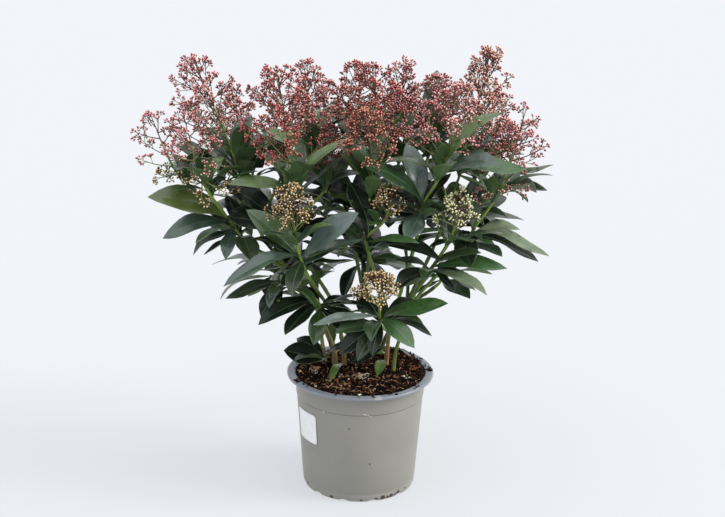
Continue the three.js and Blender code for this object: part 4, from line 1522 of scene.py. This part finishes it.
def pot_profile():
    """Its section from the middle of the underside, up the wall, over the lip and down inside."""
    height, rim, top, base = POT.height, POT.rim_radius, POT.top_radius, POT.base_radius
    wall, floor, line, step = POT.wall, POT.floor, POT.line, POT.step
    lip = height - POT.rim_height
    return [
        (0, 0), (base - 9, 0), (base - 1.6, 0), (base - 0.4, 0.5), (base, 1.8),
        (wall_radius(9), 9), (wall_radius(9.5) - 0.45, 9.6), (wall_radius(10.5) + 0.1, 10.6),
        (wall_radius(60), 60), (wall_radius(line - 1) - 0.1, line - 1.2),
        (wall_radius(line) - step * 0.9, line - 0.4), (wall_radius(line) + step, line + 0.3),
        (wall_radius(line + 1) + step, line + 1.4), (wall_radius(140) + step, 140),
        (top + step, lip - 2.6), (top + 1.4, lip - 0.9), (top + 3.0, lip - 0.2),
        (rim - 2.6, lip - 0.3), (rim - 1.4, lip - 0.5), (rim - 0.4, lip - 0.1),
        (rim, lip + 0.9), (rim - 0.1, lip + 2.2), (rim - 0.8, height - 0.5), (rim - 2.2, height),
        (rim - 5.5, height - 0.2), (top + 1.2, height - 0.7), (top - 0.8, height - 1.6),
        (top - wall, height - 3.5), (wall_radius(60) - wall, 60), (base - wall, floor + 1),
        (base - wall - 2, floor), (0, floor),
    ]


def turn_and_radius(points):
    return (np.degrees(np.arctan2(points[:, 1], points[:, 0])),
            np.hypot(points[:, 0], points[:, 1]))


def make_pot():
    rim, base = POT.rim_radius, POT.base_radius
    lip = POT.height - POT.rim_height
    points, quads = lathe(pot_profile(), POT.sides)
    turn, radius = turn_and_radius(points)
    z = points[:, 2]
    pitch = 2 * math.pi / POT.grooves
    off = np.radians(turn) % pitch - 0.5 * pitch
    notch = np.clip(1 - (off * base / (POT.groove_width / 2)) ** 2, 0, 1) ** 0.5
    lifted = z + notch * POT.groove_depth * (1 - z / POT.groove_fade)
    grooved = (z < POT.groove_fade) & (radius > base - POT.groove_band)
    points[:, 2] = np.where(grooved, lifted, z)
    nicked = NICK.depth * np.exp(-((turn - NICK.turn) / NICK.half) ** 2)
    nicked = (radius > rim - NICK.band) * nicked
    points[:, :2] *= (1 - nicked / np.maximum(radius, 1))[:, None]
    middle = points[quads].mean(1)
    turn, radius = turn_and_radius(middle)
    on_lip = (middle[:, 2] > lip - 1.2) & (radius > POT.top_radius - 1)
    # a stretch of the lip that gets a lighter colour: a painted highlight
    painted_highlight = on_lip & (turn > PAINTED_HIGHLIGHT_SPAN[0]) & (turn < PAINTED_HIGHLIGHT_SPAN[1])
    shape = Shape()
    shape.add(points, (quads, np.where(painted_highlight, PAINTED_LIP_HIGHLIGHT, np.where(on_lip, LIP, WALL))))
    pot = shape.piece("pot_shell", [
        pot_finish("pot_plastic", "#87857e", 0.42, marked=True),
        # the lip's bluish grey is a painted reflection of the pale sky on its top
        pot_finish("pot_lip", "#838891", 0.3),
        # lighter grey on that stretch of the lip: a painted highlight
        pot_finish("pot_lip_painted_highlight", "#a5a6aa", 0.25),
    ])
    merge_axis(pot)
    dress(pot, ["pot"])


def merge_axis(thing):
    """Joins the points that a lathe leaves on the axis."""
    work = bmesh.new()
    work.from_mesh(thing.data)
    bmesh.ops.remove_doubles(work, verts=work.verts, dist=1e-6)
    work.to_mesh(thing.data)
    work.free()


# ------------ soil

BED = Values(
    level=149.6,                # of the peat in the middle, just under the rim
    edge=151.4,
    radius=84.4,
    inner=82.0,                 # inside the wall
    inner_from=120.0,
    inner_to=147.0,
    middle=1.2,                 # radius of the innermost ring
    sides=160,
    rings=52,
    rise=6.5,                   # of the mound at the back right
    mound=(52.0, 58.0),
    mound_size=30.0,
    lift=(60, 22),              # from this radius, over this width, it rises to its edge
    calm=(76, 8, 0.75),         # the same, and by what share it is less rough there
    rough=2.2,
    grain=(0.1, 0.8, 2.1, 5),   # scale, dimension, lacunarity and octaves of its fractal
)


def soil_finish():
    tree = new_material("peat")
    crumbs = tree.noise(300, 8)
    stops = ((0.4, "#040202"), (0.52, "#140b08"), (0.68, "#4c2d1f"))
    return tree.finish({
        "Base Color": tree.ramp(crumbs, *((share, linear(code)) for share, code in stops)),
        "Normal": tree.bump(crumbs, 1.0, 0.004),
        "Roughness": 0.8,
        "Specular IOR Level": 0.12,
    })


def soil_height(x, y):
    """The peat's surface: rough, up to the lip all round, and heaped at the back right."""
    r = math.hypot(x, y)
    start, width = BED.lift
    edge = smooth((r - start) / width)
    heap = math.exp(-((x - BED.mound[0]) ** 2 + (y - BED.mound[1]) ** 2) / BED.mound_size**2)
    start, width, share = BED.calm
    calm = 1 - share * smooth((r - start) / width)
    scale, *grain = BED.grain
    rough = noise.fractal(Vector((x, y, 0)) * scale, *grain) * BED.rough * calm
    return BED.level + (BED.edge - BED.level) * edge + BED.rise * heap + rough


def make_soil():
    sides = BED.sides
    low, high = BED.inner_from, BED.inner_to
    points = [level(a) * BED.inner + UP * z for z in (low, high) for a in circle(sides)]
    for r in np.linspace(BED.radius, BED.middle, BED.rings):
        for a in circle(sides):
            x, y = r * math.cos(a), r * math.sin(a)
            points.append((x, y, soil_height(x, y)))
    points += [(0, 0, low), (0, 0, soil_height(0, 0))]
    shape = Shape()
    shape.solid((np.array(points), *ring_faces(2 + BED.rings, sides)), 0)
    dress(shape.piece("soil_bed", [soil_finish()]), ["soil"])


CHIP_TONES = ("#060302", "#170c08", "#462619", "#86543b", "#b8946f", "#e2dac4")
CHIP_SHARES = (0.5, 0.7, 0.82, 0.93, 0.985, 1.01)   # of them up to each tone
CHIPS, FIBRES = 1900, 760
CHIP = Values(
    lift=0.5,                   # above the peat
    scale=0.8,
    least=vec(0.8, 0.6, 0.4),   # its sides, and what each may be longer by
    more=vec(2.4, 1.0, 0.6),
    skew=0.4,                   # of each corner, over the side
    tilt=(0.9, 0.6),            # radians about X and Y
)
FIBRE = Values(
    rings=5,
    sides=4,
    radius=(0.2, 0.48),
    length=(3, 9),
    paler=0.6,                  # share of them that is one tone paler
    lift=0.9,                   # above the peat, and its middle by up to the arch more
    arch=2.4,
    slope=2.0,
    curl=0.9,
)
BOX = np.array([(x, y, z) for x in (-1, 1) for y in (-1, 1) for z in (-1, 1)], float)
BOX_FACES = np.array([(0, 1, 3, 2), (4, 6, 7, 5), (0, 4, 5, 1),
                      (2, 3, 7, 6), (0, 2, 6, 4), (1, 5, 7, 3)])
HEAPS = (                       # where chips and fibres lie thick: x, y, spread, count, tone
    (4, -20, 8, 26, 5), (-3, -14, 7, 14, 4), (-60, 4, 6, 26, 4), (-58, -4, 5, 10, 5),
    (60, -20, 6, 8, 5), (-30, -50, 9, 14, 4), (8, -66, 10, 14, 3), (72, 10, 9, 26, 3),
)
HEAP_CHIP = Values(lift=1.0, scale=0.7)
HEAP_FIBRE = Values(lift=0.4, length=(4, 9))
RIM_CRUMBS = (                  # on the lip: angle, its spread in degrees, count
    (-152.4, 3.2, 26), (-140, 5, 6), (1.2, 2.6, 20), (-79.5, 1.0, 8), (-62, 4, 6), (-38, 5, 5),
    (-100, 14, 6), (40, 18, 40), (10, 10, 10),
)
RIM_CHIP = Values(
    lift=0.3,
    scale=0.62,
    scattered=4,                # degrees; in a wider spread they lie all over the lip
    wide=(84, 8.5, 1.5),        # radius, its gain and the power of the draw
    heaped=(87, 94),            # least and largest radius
)


class Crumbs:
    """The chips and fibres of the mix, drawn from one stream."""

    def __init__(self, seed):
        self.stream = Stream(seed)
        self.shape = Shape()

    def tone(self):
        pick = self.stream.draw()
        return next(k for k, bound in enumerate(CHIP_SHARES) if pick < bound)

    def spot(self, reach):
        """A place within a circle."""
        r = reach * math.sqrt(self.stream.draw())
        a = self.stream.draw() * 2 * math.pi
        return r * math.cos(a), r * math.sin(a)

    def chip(self, x, y, z, scale, finish):
        """A box with its corners pushed about, turned at random."""
        draw, spread = self.stream.draw, self.stream.spread
        size = scale * (CHIP.least + CHIP.more * vec(draw() ** 2, draw(), draw()))
        skew = np.array([[spread(CHIP.skew) for _ in range(3)] for _ in BOX])
        turn = Matrix.Rotation(draw() * 6.28, 3, "Z")
        for axis, tilt in zip("XY", CHIP.tilt):
            turn = turn @ Matrix.Rotation(spread(tilt), 3, axis)
        self.shape.add((BOX * size * (1 + skew)) @ np.array(turn).T + vec(x, y, z),
                       (BOX_FACES, finish))

    def fibre(self, x, y, z, length, finish):
        """A thin curled tube, left out where it would cross the wall."""
        draw, spread = self.stream.draw, self.stream.spread
        a = draw() * 2 * math.pi
        t = np.linspace(-0.5, 0.5, FIBRE.rings)
        along, across = length * t, length * spread(FIBRE.curl) * (t * t - 0.08)
        height = draw() * FIBRE.arch * np.cos(t * 3) + spread(FIBRE.slope) * t
        path = np.stack([x + along * math.cos(a) - across * math.sin(a),
                         y + along * math.sin(a) + across * math.cos(a),
                         z + FIBRE.lift + height], 1)
        if np.hypot(path[:, 0], path[:, 1]).max() < BED.radius + 1:
            radius = self.stream.between(*FIBRE.radius)
            self.shape.solid(tube(path, np.full(len(t), radius), FIBRE.sides), finish)


def make_chips():
    """Bark chips, fibres and a few pale bits on the peat, and crumbs on the lip."""
    crumbs = Crumbs(500)
    stream = crumbs.stream
    materials = [twig_finish(f"chip_{k}", code, rough=0.8, spread=0.35, specular=0.12)
                 for k, code in enumerate(CHIP_TONES)]
    for _ in range(CHIPS):
        x, y = crumbs.spot(BED.radius - 1)
        crumbs.chip(x, y, soil_height(x, y) + CHIP.lift, CHIP.scale, crumbs.tone())
    for _ in range(FIBRES):
        x, y = crumbs.spot(BED.radius - 4)
        length = stream.between(*FIBRE.length)
        tone = min(4, crumbs.tone() + (stream.draw() < FIBRE.paler))
        crumbs.fibre(x, y, soil_height(x, y), length, tone)
    for heap_x, heap_y, reach, count, finish in HEAPS:
        for k in range(count):
            dx, dy = crumbs.spot(reach)
            x, y = heap_x + dx, heap_y + dy
            if k % 2:
                crumbs.chip(x, y, soil_height(x, y) + HEAP_CHIP.lift, HEAP_CHIP.scale, finish)
            else:
                length = stream.between(*HEAP_FIBRE.length)
                crumbs.fibre(x, y, soil_height(x, y) + HEAP_FIBRE.lift, length, finish)
    start, gain, power = RIM_CHIP.wide
    for turn, swing, count in RIM_CRUMBS:
        for _ in range(count):
            a = math.radians(turn + stream.spread(swing))
            if swing > RIM_CHIP.scattered:
                r = start + gain * stream.draw() ** power
            else:
                r = stream.between(*RIM_CHIP.heaped)
            crumbs.chip(r * math.cos(a), r * math.sin(a), POT.height + RIM_CHIP.lift,
                        RIM_CHIP.scale, min(3, crumbs.tone()))
    chips = crumbs.shape.piece("soil_chips", materials, smooth_faces=False)
    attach(chips, "root")


# ------------ label


def make_label():
    """A plain white sticker with round corners, bent round the wall."""
    width, height, corner = LABEL.width, LABEL.height, LABEL.corner
    columns, rows = LABEL.grid
    middle_radius = wall_radius(LABEL.middle)
    layers = []
    for lift in LABEL.lifts:
        for v in np.linspace(-0.5, 0.5, rows):
            edge = height / 2 - abs(v) * height
            inset = corner - math.sqrt(max(0, corner**2 - max(0, corner - edge) ** 2))
            z = LABEL.middle + v * height
            radius = wall_radius(z) + lift
            for u in np.linspace(-0.5, 0.5, columns):
                angle = math.radians(LABEL.turn) + u * (width - 2 * inset) / middle_radius
                layers.append((radius * math.cos(angle), radius * math.sin(angle), z))
    size = rows * columns
    index = np.arange(size).reshape(rows, columns)
    rim = np.concatenate([index[0], index[1:, -1], index[-1, -2::-1], index[-2:0:-1, 0]])
    after = np.roll(rim, -1)
    edge = np.stack([rim, after, after + size, rim + size], 1)
    front = grid_quads(rows, columns, False)
    shape = Shape()
    shape.add(np.array(layers), (front + size, 0), (front[:, ::-1], 0), (edge, 0))
    tree = new_material("sticker")
    paper = tree.finish({
        "Base Color": tree.ramp(tree.noise(120), (0.3, grey(0.74)), (0.7, grey(0.82))),
        "Roughness": 0.4,
    })
    dress(shape.piece("sticker", [paper]), ["label"])


# ------------ stage, light and camera, in metres

FLOOR = Values(
    colour=(0.250, 0.255, 0.262),
    glow=(0.485, 0.495, 0.515),
    half=30,
    z=-0.0003,
)
SKY = (                         # the studio from the horizon up: share, colour
    (0.0, (0.86, 0.87, 0.90)), (0.25, (0.86, 0.88, 0.91)),
    (0.6, (1.05, 1.07, 1.11)), (1.0, (1.45, 1.48, 1.53)),
)
SUNS = (                        # where from, strength, angle across in degrees, colour
    ((1.4, -0.15, 0.85), 2.4, 28.0, (1.0, 0.985, 0.96)),
    ((-0.8, -0.7, 1.1), 0.3, 70.0, (0.96, 0.98, 1.0)),
)
CAMERA = Values(
    lens=65.0,
    sensor=36.0,
    far=100.0,
    place=(0.0005, -1.583, 0.794),
    down=17.2,                  # degrees
    roll=0.93,
)


def make_stage():
    half, z = FLOOR.half, FLOOR.z
    mesh = bpy.data.meshes.new("floor")
    mesh.from_pydata([(-half, -half, z), (half, -half, z), (half, half, z), (-half, half, z)],
                     [], [(0, 1, 2, 3)])
    floor = place_object("floor", mesh)
    mesh.materials.append(new_material("floor_paper").finish({
        "Base Color": (*FLOOR.colour, 1),
        "Emission Color": (*FLOOR.glow, 1),
        "Emission Strength": 1.0,
        "Roughness": 0.95,
        "Specular IOR Level": 0.0,
    }))
    floor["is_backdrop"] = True


def make_light():
    """A pale studio: brighter overhead, a broad lamp from the right, and a softer one to fill."""
    tree = Tree(bpy.data.worlds.new("studio"), "Background")
    way = tree.node("TexCoord", {}, "Generated")
    height = tree.node("SeparateXYZ", {"Vector": way}, "Z")
    bpy.context.scene.world = tree.finish({"Color": tree.ramp(height, *SKY)})
    for number, (where, strength, angle, colour) in enumerate(SUNS):
        data = bpy.data.lights.new(f"sun_{number}", "SUN")
        data.energy = strength
        data.angle = math.radians(angle)
        data.color = colour
        lamp = place_object(f"sun_{number}", data)
        lamp.rotation_euler = (-Vector(where)).to_track_quat("-Z", "Y").to_euler()


def make_camera():
    data = bpy.data.cameras.new("camera")
    data.lens = CAMERA.lens
    data.sensor_width = CAMERA.sensor
    data.sensor_fit = "HORIZONTAL"
    data.clip_end = CAMERA.far
    camera = place_object("camera", data)
    tilt, roll = math.radians(90 - CAMERA.down), math.radians(CAMERA.roll)
    camera.matrix_world = (Matrix.Translation(CAMERA.place)
                           @ Matrix.Rotation(tilt, 4, "X") @ Matrix.Rotation(roll, 4, "Z"))
    bpy.context.scene.camera = camera


def corners(bounds):
    return [list(map(float, corner)) for corner in bounds]


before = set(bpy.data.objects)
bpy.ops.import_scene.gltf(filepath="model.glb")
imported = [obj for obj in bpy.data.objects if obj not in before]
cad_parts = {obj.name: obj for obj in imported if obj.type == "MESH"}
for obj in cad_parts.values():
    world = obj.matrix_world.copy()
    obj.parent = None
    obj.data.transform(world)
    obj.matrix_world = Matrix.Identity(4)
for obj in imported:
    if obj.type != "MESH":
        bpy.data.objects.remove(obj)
cad_box = corners(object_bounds())
bpy.context.scene.view_settings.view_transform = "Standard"

grow_plant()
dress_plant()
make_pot()
make_soil()
make_chips()
make_label()
make_stage()
make_light()
make_camera()

{"cad": cad_box, "visual": corners(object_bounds())}
